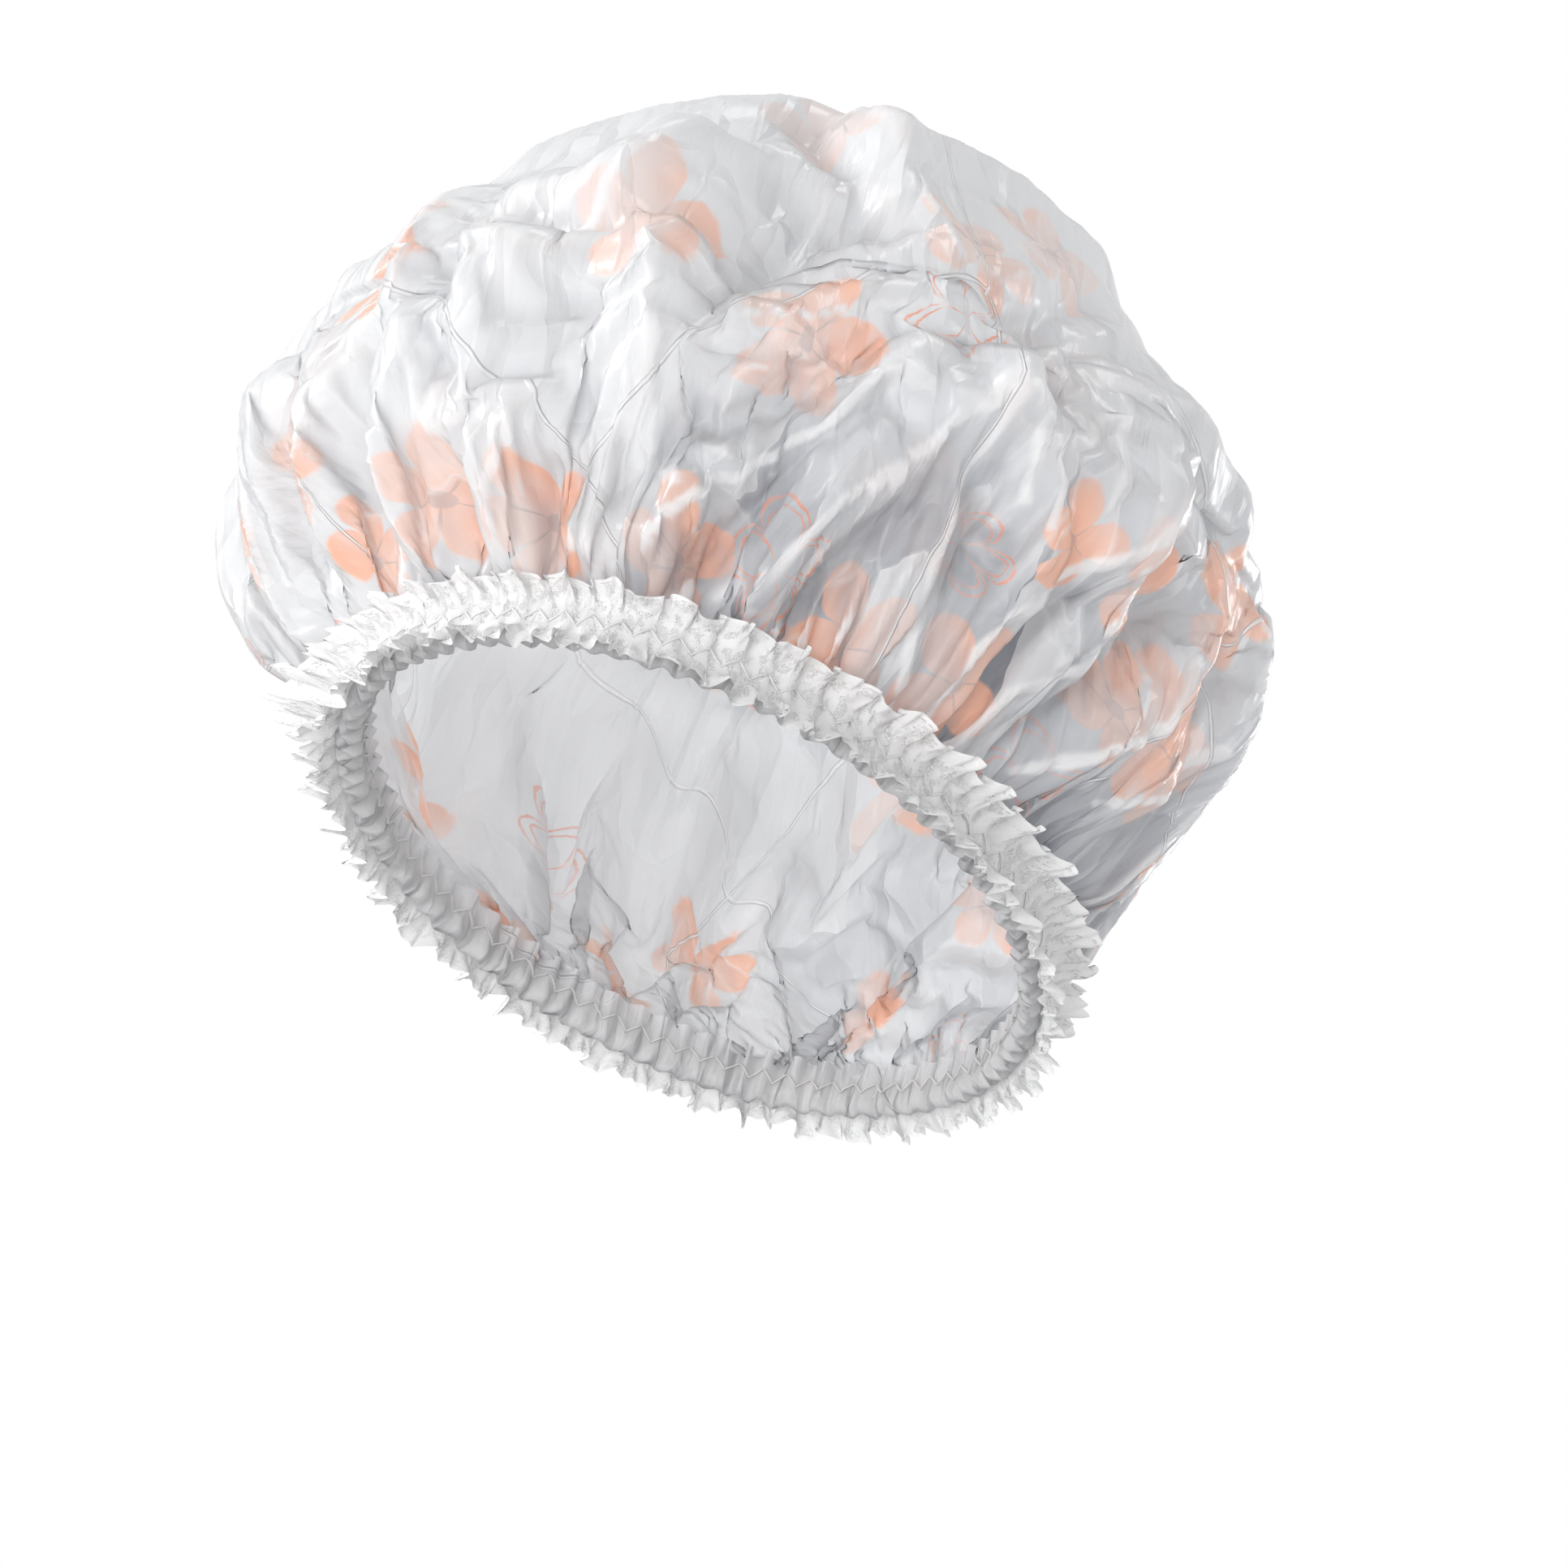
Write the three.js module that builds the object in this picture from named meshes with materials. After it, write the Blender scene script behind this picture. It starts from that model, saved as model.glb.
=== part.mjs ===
// Gathered shower cap in its worn shape, standing on its lace ruffle.
// Millimetres, +Z up. The front of the cap faces -Y and the wearer's left is +X.
// The origin is the centre of the head opening, level with the ruffle's lowest edge.
import * as THREE from 'three';

// Head opening, along the middle of the stretched elastic
const openingHalfWidth = 77.5;
const openingHalfDepth = 100;

// Crown of thin film: its widest line, its top and how it turns in to the opening
const crownHalfWidth = 124;
const crownHalfDepth = 124;
const crownShiftX = -7;
const crownShiftY = -9;
const widestHeight = 91;
const widestTiltX = -3;
const widestTiltY = 20;
const crownTop = 192;
const topShiftX = 6;
const topShiftY = -34;
const filmWall = 0.5;
const foldHeight = 5;
const swellHeight = 10;
const crownSag = 2;
const turnInPower = 2.1;
const domePower = 1.25;
const widestRiseShare = 1 / 3;

// Casing turned under at the crown's edge, which holds the elastic
const casingBottom = 2;
const casingTop = 14;
const hemTop = 13.2;
const casingClear = 4;

// Elastic, lapped on itself at the nape
const elasticWidth = 6;
const elasticThickness = 0.8;
const elasticMiddle = 8.5;
const elasticLap = 12;
const elasticSteps = 84;

// Lace ruffle, gathered on the outside of the casing
const laceWall = 0.6;
const laceGathers = 72;
const laceBottomLift = 0.5;
const laceSeamLow = 6.3;
const laceSeamHigh = 10.7;
const laceLift = 1.2;
const laceSeamWave = 0.3;
const laceLowerWave = 4.2;
const laceUpperWave = 5;
const laceFlare = 9;

// Sewing thread
const threadRadius = 0.25;
const stitchPitch = 7;
const stitchWidth = 3;
const tackLength = 9;
const tackHeight = 4;
const tackTurns = 9;

// Gap that touching pieces keep
const clearance = 0.3;

// Main folds: where each ridge and the hollow after it leave the casing and where they lie at the
// widest line and above, as shares of a turn counted from +X towards +Y, and their heights
// outwards in foldHeights
const foldShares = [
  { rim: [0.067, 0.098], high: [0.067, 0.103], heights: [0.9, -1] },
  { rim: [0.147, 0.169], high: [0.125, 0.164], heights: [0.3, -0.8] },
  { rim: [0.208, 0.231], high: [0.197, 0.228], heights: [0.5, -0.6] },
  { rim: [0.267, 0.294], high: [0.256, 0.281], heights: [0.1, -0.7] },
  { rim: [0.35, 0.372], high: [0.314, 0.364], heights: [0.2, -0.8] },
  { rim: [0.397, 0.411], high: [0.392, 0.411], heights: [0, -0.9] },
  { rim: [0.45, 0.472], high: [0.436, 0.464], heights: [0.5, -1] },
  { rim: [0.522, 0.544], high: [0.506, 0.542], heights: [0.4, -1] },
  { rim: [0.572, 0.6], high: [0.572, 0.6], heights: [0.7, -1] },
  { rim: [0.625, 0.653], high: [0.639, 0.661], heights: [0.5, -1.2] },
  { rim: [0.675, 0.697], high: [0.681, 0.7], heights: [0.2, -1.5] },
  { rim: [0.719, 0.739], high: [0.725, 0.742], heights: [0.3, -1.1] },
  { rim: [0.758, 0.783], high: [0.758, 0.789], heights: [0.6, -1.4] },
  { rim: [0.811, 0.839], high: [0.825, 0.85], heights: [0.3, -1.3] },
  { rim: [0.861, 0.886], high: [0.883, 0.917], heights: [0.3, -1.2] },
  { rim: [0.936, 0.964], high: [0.947, 0.983], heights: [0.8, -1] },
  { rim: [1.011, 1.039], high: [1.028, 1.047], heights: [0.6, -0.1] },
];

// Rows up the crown, as shares of the way from the casing to the top
const crownRowShares = [0.06, 0.13, 0.21, 0.3, 0.39, 0.52, 0.68, 0.85];

// How strongly the folds show at each share of the way up
const foldFadeShares = [
  [0, 0], [0.06, 0], [0.13, 0.9], [0.21, 1.15], [0.3, 0.95], [0.39, 0.3], [0.52, 0], [1, 0],
];

// How far the slack film lies under the smooth crown at each share of the way up, in crownSags
const sagShares = [
  [0, 0], [0.06, 0.6], [0.13, 0.15], [0.21, -0.25], [0.3, -0.4],
  [0.39, 0.3], [0.52, 0.45], [0.68, 0.4], [0.85, 0.5], [1, 0],
];

// Main swells and hollows of the crumpled crown. Each runs from one place to another, and has its
// height outwards in swellHeights and its reach to the sides, round the crown and up it.
const crownSwells = [
  { turns: [0.828, 0.844], rises: [0.45, 0.6], height: -1.3, reachShares: [0.026, 0.06] },
  { turns: [0.825, 0.822], rises: [0.66, 0.74], height: -0.4, reachShares: [0.02, 0.05] },
  { turns: [0.778, 0.786], rises: [0.54, 0.6], height: 1, reachShares: [0.022, 0.05] },
  { turns: [0.747, 0.747], rises: [0.46, 0.4], height: 0.5, reachShares: [0.02, 0.05] },
  { turns: [0.706, 0.706], rises: [0.47, 0.5], height: 0.5, reachShares: [0.02, 0.05] },
  { turns: [0.722, 0.806], rises: [0.69, 0.79], height: 0.3, reachShares: [0.03, 0.05] },
  { turns: [0.864, 0.864], rises: [0.7, 0.7], height: 0.6, reachShares: [0.025, 0.05] },
  { turns: [0.894, 1], rises: [0.75, 0.75], height: 0.4, reachShares: [0.03, 0.045] },
  { turns: [0.9, 0.922], rises: [0.36, 0.36], height: 1, reachShares: [0.025, 0.05] },
  { turns: [0.964, 0.967], rises: [0.31, 0.42], height: 0.9, reachShares: [0.022, 0.05] },
  { turns: [0.925, 0.944], rises: [0.3, 0.3], height: 0.5, reachShares: [0.02, 0.04] },
  { turns: [0.925, 0.961], rises: [0.5, 0.6], height: -0.9, reachShares: [0.022, 0.05] },
  { turns: [0.983, 1.022], rises: [0.5, 0.5], height: 0.4, reachShares: [0.03, 0.045] },
  { turns: [0.006, 0.011], rises: [0.26, 0.31], height: -0.9, reachShares: [0.022, 0.05] },
  { turns: [0.794, 0.85], rises: [0.24, 0.3], height: -0.3, reachShares: [0.03, 0.045] },
  { turns: [0.025, 0.033], rises: [0.18, 0.2], height: 0.2, reachShares: [0.02, 0.04] },
  { turns: [0.506, 0.522], rises: [0.4, 0.44], height: 0.4, reachShares: [0.02, 0.05] },
  { turns: [0.8, 0.806], rises: [0.4, 0.4], height: 0.4, reachShares: [0.018, 0.04] },
];

// How far up the crown the ruffle's upper edge reaches
const laceRiseShare = 0.085;

// How unevenly the ruffle is gathered: waves in one turn, where they start and how much they add
const laceUnevenShares = [
  { waves: 5, start: 1, height: 0.25 },
  { waves: 13, start: 0, height: 0.2 },
];

// Where the ruffle stands away from the crown most, beside the wearer's right temple
const flareTurnShare = 0.6;
const flareReachShare = 0.035;

// Limits on how far a sharp corner reaches, as the least cosine that is taken into account
const sheetCornerShare = 0.6;
const sweepCornerShare = 0.5;

// Step along the crown, as a share, over which its outward direction is measured
const normalStepShare = 0.002;

// Sizes worked out from the ones above
const turn = 2 * Math.PI;
const casingSag = facetSag();
const casingOut = casingClear / 2 + filmWall / 2;
const casingFace = casingOut + filmWall / 2;
const laceSeamOut = casingFace + clearance + laceWall / 2;
const laceSeamCrest = laceSeamOut + laceSeamWave + laceWall / 2;
const outerThreadOut = laceSeamCrest + clearance + threadRadius;
const innerThreadOut = -casingFace - casingSag - clearance - threadRadius;
const elasticOuterLap = casingClear / 2 - casingSag - clearance - elasticThickness / 2;
const elasticInnerLap = elasticOuterLap - elasticThickness - clearance;
const tackOut = elasticInnerLap - elasticThickness / 2 - clearance - threadRadius;
const napeTurn = turn / 4;

// Columns of the crown, leaning from the rim to the widest line: one along each ridge, one along
// the hollow after it and one halfway from there to the next ridge
function foldColumns(lean) {
  const placeOf = (fold, k) => fold.rim[k] + (fold.high[k] - fold.rim[k]) * lean;
  return foldShares.flatMap((fold, i) => {
    const last = i === foldShares.length - 1;
    const nextFold = foldShares[last ? 0 : i + 1];
    const hollow = placeOf(fold, 1);
    const nextRidge = placeOf(nextFold, 0) + (last ? 1 : 0);
    return [
      { turnShare: placeOf(fold, 0), height: fold.heights[0] },
      { turnShare: hollow, height: fold.heights[1] },
      { turnShare: (hollow + nextRidge) / 2, height: (fold.heights[1] + nextFold.heights[0]) / 2 },
    ];
  });
}

// How far the casing's longest straight facet lies inside the oval
function facetSag() {
  const places = foldColumns(0).map((column) => column.turnShare);
  const steps = places.map((place, i) => (places[i + 1] ?? places[0] + 1) - place);
  const roundest = openingHalfDepth ** 2 / openingHalfWidth;
  return roundest * (1 - Math.cos(Math.max(...steps) * Math.PI));
}

function openingLength() {
  const a = openingHalfWidth;
  const b = openingHalfDepth;
  return Math.PI * (3 * (a + b) - Math.sqrt((3 * a + b) * (a + 3 * b)));
}

// Outward direction of the opening's oval at an angle
function outward(angle) {
  const x = openingHalfDepth * Math.cos(angle);
  const y = openingHalfWidth * Math.sin(angle);
  return new THREE.Vector3(x, y, 0).normalize();
}

// Point of the opening's oval, moved outwards and up
function rimPoint(angle, out, height) {
  const x = openingHalfWidth * Math.cos(angle);
  const y = openingHalfDepth * Math.sin(angle);
  return new THREE.Vector3(x, y, height).addScaledVector(outward(angle), out);
}

// Value of a polyline of [share, value] pairs at a share
function alongShares(pairs, share) {
  const next = pairs.findIndex((pair) => pair[0] >= share);
  if (next <= 0) return pairs[0][1];
  const [shareA, valueA] = pairs[next - 1];
  const [shareB, valueB] = pairs[next];
  return valueA + (valueB - valueA) * (share - shareA) / (shareB - shareA);
}

// Smooth crown without folds. The lower part swings out from the casing to the widest line,
// and the dome closes from there to the top.
function smoothCrown(angle, rise) {
  const seam = rimPoint(angle, casingOut, casingTop);
  const wide = new THREE.Vector3(
    crownShiftX + crownHalfWidth * Math.cos(angle),
    crownShiftY + crownHalfDepth * Math.sin(angle),
    widestHeight + widestTiltX * Math.cos(angle) + widestTiltY * Math.sin(angle),
  );
  if (rise < widestRiseShare) {
    const swing = (rise / widestRiseShare) * Math.PI / 2;
    const out = Math.sin(swing) ** turnInPower;
    const up = 1 - Math.cos(swing);
    return new THREE.Vector3(
      seam.x + (wide.x - seam.x) * out,
      seam.y + (wide.y - seam.y) * out,
      seam.z + (wide.z - seam.z) * up,
    );
  }
  const swing = ((rise - widestRiseShare) / (1 - widestRiseShare)) * Math.PI / 2;
  const out = Math.cos(swing);
  const up = Math.sin(swing) ** domePower;
  return new THREE.Vector3(
    topShiftX + (wide.x - topShiftX) * out,
    topShiftY + (wide.y - topShiftY) * out,
    wide.z + (crownTop - wide.z) * up,
  );
}

// Outward normal of the smooth crown, from two short steps along it
function crownNormal(angle, rise) {
  const ahead = smoothCrown(angle + normalStepShare * turn, rise);
  const behind = smoothCrown(angle - normalStepShare * turn, rise);
  const above = smoothCrown(angle, rise + normalStepShare);
  const below = smoothCrown(angle, rise - normalStepShare);
  return ahead.sub(behind).cross(above.sub(below)).normalize();
}

// Difference of two turn shares, between minus and plus half a turn
function turnGap(shareA, shareB) {
  const gap = (shareA - shareB) % 1;
  return gap - Math.round(gap);
}

// Height of the swells and hollows at one place: each falls off with the distance from its line,
// counted in its own reach round the crown and up it
function swellAt(turnShare, riseShare) {
  return crownSwells.reduce((sum, { turns, rises, height, reachShares }) => {
    const place = new THREE.Vector2(turnGap(turnShare, turns[0]), riseShare - rises[0]);
    const line = new THREE.Vector2(turns[1] - turns[0], rises[1] - rises[0]);
    const reach = new THREE.Vector2(...reachShares);
    place.divide(reach);
    line.divide(reach);
    const along = THREE.MathUtils.clamp(place.dot(line) / Math.max(line.lengthSq(), Number.EPSILON), 0, 1);
    return sum + swellHeight * height * Math.exp(-place.addScaledVector(line, -along).lengthSq());
  }, 0);
}

// One row of the folded crown, column by column. The columns run along the ridges and hollows.
function foldedRow(rise) {
  const fade = foldHeight * alongShares(foldFadeShares, rise);
  const sag = crownSag * alongShares(sagShares, rise);
  return foldColumns(Math.min(rise / widestRiseShare, 1)).map(({ turnShare, height }) => {
    const angle = turnShare * turn;
    const out = height * fade + swellAt(turnShare, rise) - sag;
    return smoothCrown(angle, rise).addScaledVector(crownNormal(angle, rise), out);
  });
}

// Row of casing points under the crown's columns
function casingRow(out, height) {
  return foldColumns(0).map((column) => rimPoint(column.turnShare * turn, out, height));
}

// Mesh from points and triangles, turned so that its faces point out
function closedMesh(points, triangles) {
  const volume = triangles.reduce((sum, [a, b, c]) => {
    const normal = new THREE.Vector3().crossVectors(points[b], points[c]);
    return sum + points[a].dot(normal);
  }, 0);
  const faces = volume < 0 ? triangles.map(([a, b, c]) => [a, c, b]) : triangles;
  const geometry = new THREE.BufferGeometry();
  const values = points.flatMap((point) => [point.x, point.y, point.z]);
  geometry.setAttribute('position', new THREE.Float32BufferAttribute(values, 3));
  geometry.setIndex(faces.flat());
  geometry.computeVertexNormals();
  return geometry;
}

// Triangles of a sheet of closed rows, and of the fan that closes it at its top point
function sheetTriangles(rowCount, columns, topIndex) {
  const triangles = [];
  for (let j = 0; j < rowCount - 1; j += 1) {
    for (let i = 0; i < columns; i += 1) {
      const next = (i + 1) % columns;
      const a = j * columns + i;
      const b = j * columns + next;
      const c = (j + 1) * columns + next;
      const d = (j + 1) * columns + i;
      triangles.push([a, b, c], [a, c, d]);
    }
  }
  if (topIndex !== undefined) {
    const first = (rowCount - 1) * columns;
    for (let i = 0; i < columns; i += 1) {
      triangles.push([first + i, first + (i + 1) % columns, topIndex]);
    }
  }
  return triangles;
}

// Sheet of a given wall as one closed body: closed rows of points, and a top point or an open
// upper edge. Each side lies half a wall off the middle, measured square to the faces.
function sheetBody(rows, top, wall) {
  const columns = rows[0].length;
  const middle = rows.flat();
  const topIndex = top ? middle.push(top) - 1 : undefined;
  const triangles = sheetTriangles(rows.length, columns, topIndex);
  const normals = middle.map(() => new THREE.Vector3());
  const faceNormals = middle.map(() => []);
  triangles.forEach((triangle) => {
    const [a, b, c] = triangle.map((index) => middle[index]);
    const face = b.clone().sub(a).cross(c.clone().sub(a));
    const unit = face.clone().normalize();
    triangle.forEach((index) => {
      normals[index].add(unit);
      faceNormals[index].push(unit);
    });
  });
  const offsets = normals.map((normal, index) => {
    const direction = normal.normalize();
    const least = Math.min(...faceNormals[index].map((face) => face.dot(direction)));
    return direction.multiplyScalar(wall / 2 / Math.max(least, sheetCornerShare));
  });
  const flatBottom = rows[0].every((point) => point.z === rows[0][0].z);
  if (flatBottom) {
    rows[0].forEach((point, index) => { offsets[index].z = 0; });
  }
  const outer = middle.map((point, index) => point.clone().add(offsets[index]));
  const inner = middle.map((point, index) => point.clone().sub(offsets[index]));
  const count = middle.length;
  const faces = [...triangles];
  triangles.forEach(([a, b, c]) => faces.push([a + count, c + count, b + count]));
  const closeEdge = (first, flip) => {
    for (let i = 0; i < columns; i += 1) {
      const a = first + i;
      const b = first + (i + 1) % columns;
      const quad = [[a, b + count, b], [a, a + count, b + count]];
      quad.forEach(([p, q, r]) => faces.push(flip ? [p, r, q] : [p, q, r]));
    }
  };
  closeEdge(0, false);
  if (!top) closeEdge((rows.length - 1) * columns, true);
  return closedMesh([...outer, ...inner], faces);
}

// Section carried along a path. Each station has its place and its outward direction,
// and a section point is [outwards, sideways].
function sweep(stations, section, closed) {
  const count = stations.length;
  const sides = section.length;
  const points = [];
  stations.forEach((station, i) => {
    const before = stations[closed ? (i + count - 1) % count : Math.max(i - 1, 0)].point;
    const after = stations[closed ? (i + 1) % count : Math.min(i + 1, count - 1)].point;
    const back = station.point.clone().sub(before).normalize();
    const ahead = after.clone().sub(station.point).normalize();
    const along = back.add(ahead).normalize();
    const leg = after.distanceTo(station.point) > 0 ? ahead : station.point.clone().sub(before).normalize();
    const side = new THREE.Vector3().crossVectors(along, station.out).normalize();
    const widen = 1 / Math.max(along.dot(leg), sweepCornerShare);
    section.forEach(([out, sideways]) => {
      const point = station.point.clone().addScaledVector(station.out, out);
      points.push(point.addScaledVector(side, sideways * widen));
    });
  });
  const triangles = [];
  const rings = closed ? count : count - 1;
  for (let i = 0; i < rings; i += 1) {
    const first = i * sides;
    const second = ((i + 1) % count) * sides;
    for (let k = 0; k < sides; k += 1) {
      const next = (k + 1) % sides;
      triangles.push([first + k, first + next, second + next], [first + k, second + next, second + k]);
    }
  }
  if (!closed) {
    const last = (count - 1) * sides;
    for (let k = 1; k < sides - 1; k += 1) {
      triangles.push([0, k + 1, k], [last, last + k, last + k + 1]);
    }
  }
  return closedMesh(points, triangles);
}

const threadSection = [[threadRadius, 0], [0, threadRadius], [-threadRadius, 0], [0, -threadRadius]];

// Crown with its casing: up the hem's inside, round the fold at the bottom and up to the top
function crownFilm() {
  const hem = [
    casingRow(-casingOut, hemTop),
    casingRow(-casingOut, casingBottom + filmWall / 2),
    casingRow(casingOut, casingBottom + filmWall / 2),
    casingRow(casingOut, casingTop),
  ];
  const rows = [...hem, ...crownRowShares.map(foldedRow)];
  const top = smoothCrown(0, 1);
  return sheetBody(rows, top, filmWall);
}

// How far the ruffle stands away at its flare, from 0 to 1
function flareAt(turnShare) {
  return Math.exp(-((turnGap(turnShare, flareTurnShare) / flareReachShare) ** 2));
}

// How high the ruffle's gathers are at an angle, as a share of their mean height
function gatherHeight(angle) {
  const waveAt = (wave) => wave.height * Math.sin(wave.waves * angle + wave.start);
  return laceUnevenShares.reduce((sum, wave) => sum + waveAt(wave), 1);
}

// Lace ruffle: crests and troughs by turns, pressed flat between the two seam heights.
// Its lowest edge is cut level, so the cap stands on it.
function laceRuffle() {
  const columns = laceGathers * 2;
  const bottom = [];
  const seamLow = [];
  const seamHigh = [];
  const top = [];
  for (let i = 0; i < columns; i += 1) {
    const turnShare = i / columns;
    const angle = turnShare * turn;
    const crest = i % 2;
    const uneven = gatherHeight(angle);
    const flare = laceFlare * flareAt(turnShare);
    const lowerOut = laceSeamOut + (laceLowerWave * crest + laceBottomLift) * uneven;
    const lift = filmWall / 2 + laceLift + laceWall / 2 + laceUpperWave * crest * uneven;
    const upper = smoothCrown(angle, laceRiseShare);
    upper.addScaledVector(crownNormal(angle, laceRiseShare), lift);
    upper.addScaledVector(outward(angle), flare);
    bottom.push(rimPoint(angle, lowerOut, 0));
    seamLow.push(rimPoint(angle, laceSeamOut + laceSeamWave * crest, laceSeamLow));
    seamHigh.push(rimPoint(angle, laceSeamOut + laceSeamWave * crest, laceSeamHigh));
    top.push(upper);
  }
  return sheetBody([bottom, seamLow, seamHigh, top], null, laceWall);
}

// Elastic as one open strip. It creeps outwards round the opening by its own thickness and a gap,
// so that its two ends lap at the nape without touching.
function elasticBand() {
  const lapTurn = (elasticLap / openingLength()) * turn;
  const stations = [];
  for (let i = 0; i <= elasticSteps; i += 1) {
    const share = i / elasticSteps;
    const angle = napeTurn - lapTurn / 2 + (turn + lapTurn) * share;
    const out = elasticInnerLap + (elasticOuterLap - elasticInnerLap) * share;
    stations.push({ point: rimPoint(angle, out, elasticMiddle), out: outward(angle) });
  }
  const t = elasticThickness / 2;
  const w = elasticWidth / 2;
  return sweep(stations, [[t, -w], [t, w], [-t, w], [-t, -w]], false);
}

// Closed zigzag row of stitches round the opening
function zigzagRow(out) {
  const count = 2 * Math.round(openingLength() / stitchPitch);
  const middle = (laceSeamLow + laceSeamHigh) / 2;
  const stations = [];
  for (let i = 0; i < count; i += 1) {
    const angle = (i / count) * turn;
    const height = middle + (i % 2 ? stitchWidth / 2 : -stitchWidth / 2);
    stations.push({ point: rimPoint(angle, out, height), out: outward(angle) });
  }
  return sweep(stations, threadSection, true);
}

// Zigzag tack over the elastic's lap, on its inside
function lapTack() {
  const stations = [];
  for (let i = 0; i <= tackTurns; i += 1) {
    const along = (i / tackTurns - 0.5) * tackLength;
    const angle = napeTurn + (along / openingLength()) * turn;
    const height = elasticMiddle + (i % 2 ? tackHeight / 2 : -tackHeight / 2);
    stations.push({ point: rimPoint(angle, tackOut, height), out: outward(angle) });
  }
  return sweep(stations, threadSection, false);
}

const filmMaterial = new THREE.MeshStandardMaterial({ color: 0xe9e8ec, roughness: 0.22, metalness: 0 });
const laceMaterial = new THREE.MeshStandardMaterial({ color: 0xf7f5f4, roughness: 0.85, metalness: 0 });
const elasticMaterial = new THREE.MeshStandardMaterial({ color: 0xf0efec, roughness: 0.9, metalness: 0 });
const threadMaterial = new THREE.MeshStandardMaterial({ color: 0xfbfaf8, roughness: 0.7, metalness: 0 });

function named(name, geometry, material) {
  const mesh = new THREE.Mesh(geometry, material);
  mesh.name = name;
  return mesh;
}

const group = new THREE.Group();
group.add(named('crown_film', crownFilm(), filmMaterial));
group.add(named('lace_ruffle', laceRuffle(), laceMaterial));
group.add(named('elastic_band', elasticBand(), elasticMaterial));
group.add(named('needle_thread', zigzagRow(outerThreadOut), threadMaterial));
group.add(named('bobbin_thread', zigzagRow(innerThreadOut), threadMaterial));
group.add(named('elastic_lap_tack', lapTack(), threadMaterial));

export default group;
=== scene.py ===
"""Shower cap in its worn shape: crumpled film crown, gathered lace ruffle, elastic and stitching.

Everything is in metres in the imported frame: +Z up, the front of the cap towards -Y, its left
towards +X, and the origin at the centre of the opening, level with the ruffle's lowest edge.
Turns are angles about +Z counted from +X towards +Y. A place on the crown is a turn and a rise,
which is 0 at the casing's top edge, a third at the widest line and 1 at the top.
"""

import logging
import math
from dataclasses import dataclass, field
from enum import Enum

import bmesh
import bpy
import numpy as np
from mathutils import Matrix, Vector
from numpy.typing import NDArray


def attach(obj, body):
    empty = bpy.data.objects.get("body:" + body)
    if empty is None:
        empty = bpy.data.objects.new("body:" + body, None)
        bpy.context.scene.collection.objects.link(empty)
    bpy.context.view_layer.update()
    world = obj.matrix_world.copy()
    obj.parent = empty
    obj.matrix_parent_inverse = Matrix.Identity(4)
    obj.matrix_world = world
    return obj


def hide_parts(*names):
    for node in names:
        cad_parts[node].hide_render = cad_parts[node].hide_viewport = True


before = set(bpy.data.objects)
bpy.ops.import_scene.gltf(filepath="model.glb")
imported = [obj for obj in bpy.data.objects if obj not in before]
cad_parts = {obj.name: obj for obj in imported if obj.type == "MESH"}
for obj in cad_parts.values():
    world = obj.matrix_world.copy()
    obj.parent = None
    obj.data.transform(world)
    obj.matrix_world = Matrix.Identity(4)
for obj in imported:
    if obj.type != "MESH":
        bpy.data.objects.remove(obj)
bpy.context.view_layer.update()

Array = NDArray[np.float64]
Colour = tuple[float, float, float, float]
Pair = tuple[float, float]
Triple = tuple[float, float, float]
Waves = tuple[tuple[int, float, float], ...]
CLEAR: Colour = (1.0, 1.0, 1.0, 1.0)
TURN = 2 * math.pi
log = logging.getLogger("shower_cap")


def smooth_step(value: Array, start: float, end: float) -> Array:
    """Value's share of the way from start to end, eased in and out and held at 0 and 1."""
    share = np.clip((value - start) / (end - start), 0, 1)
    return share * share * (3 - 2 * share)


def waves(turn: Array, table: Waves) -> Array:
    """Sum of waves over the turns, each of them given by its count, height and starting phase."""
    return sum(height * np.sin(count * turn + start) for count, height, start in table)


def unit(vectors: Array) -> Array:
    """Vectors divided by their lengths."""
    lengths = np.linalg.norm(vectors, axis=-1, keepdims=True)
    return vectors / np.maximum(lengths, 1e-12)


def grid_faces(rows: int, columns: int, round_it: bool) -> NDArray[np.int64]:
    """Quads of a grid of points stored row by row.

    Args:
        rows: number of rows.
        columns: number of points in each row.
        round_it: True if the last column joins the first.

    Returns:
        One row of four point numbers for each quad.
    """
    index = np.arange(rows * columns).reshape(rows, columns)
    if round_it:
        index = np.concatenate([index, index[:, :1]], axis=1)
    corners = [index[:-1, :-1], index[:-1, 1:], index[1:, 1:], index[1:, :-1]]
    return np.stack(corners, axis=-1).reshape(-1, 4)


def make_piece(name: str, points: Array, faces: NDArray[np.int64]) -> bpy.types.Object:
    """Smooth-shaded mesh object at the origin, made from points and quads.

    Args:
        name: the piece's name.
        points: one row for each point.
        faces: one row of four point numbers for each quad.

    Returns:
        The object, linked to the scene.
    """
    mesh = bpy.data.meshes.new(name)
    mesh.from_pydata(points.reshape(-1, 3).tolist(), [], faces.tolist())
    mesh.polygons.foreach_set("use_smooth", np.ones(len(mesh.polygons), dtype=bool))
    piece = bpy.data.objects.new(name, mesh)
    bpy.context.scene.collection.objects.link(piece)
    return piece


def corner_points(piece: bpy.types.Object) -> NDArray[np.int32]:
    """Point number of each face corner of a piece.

    Args:
        piece: the piece.

    Returns:
        One point number for each face corner.
    """
    index = np.empty(len(piece.data.loops), dtype=np.int32)
    piece.data.loops.foreach_get("vertex_index", index)
    return index


def add_uv(piece: bpy.types.Object, name: str, places: Array) -> None:
    """Gives a piece a UV map from one place for each point."""
    layer = piece.data.uv_layers.new(name=name)
    layer.uv.foreach_set("vector", places[corner_points(piece)].astype(np.float32).ravel())


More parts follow.
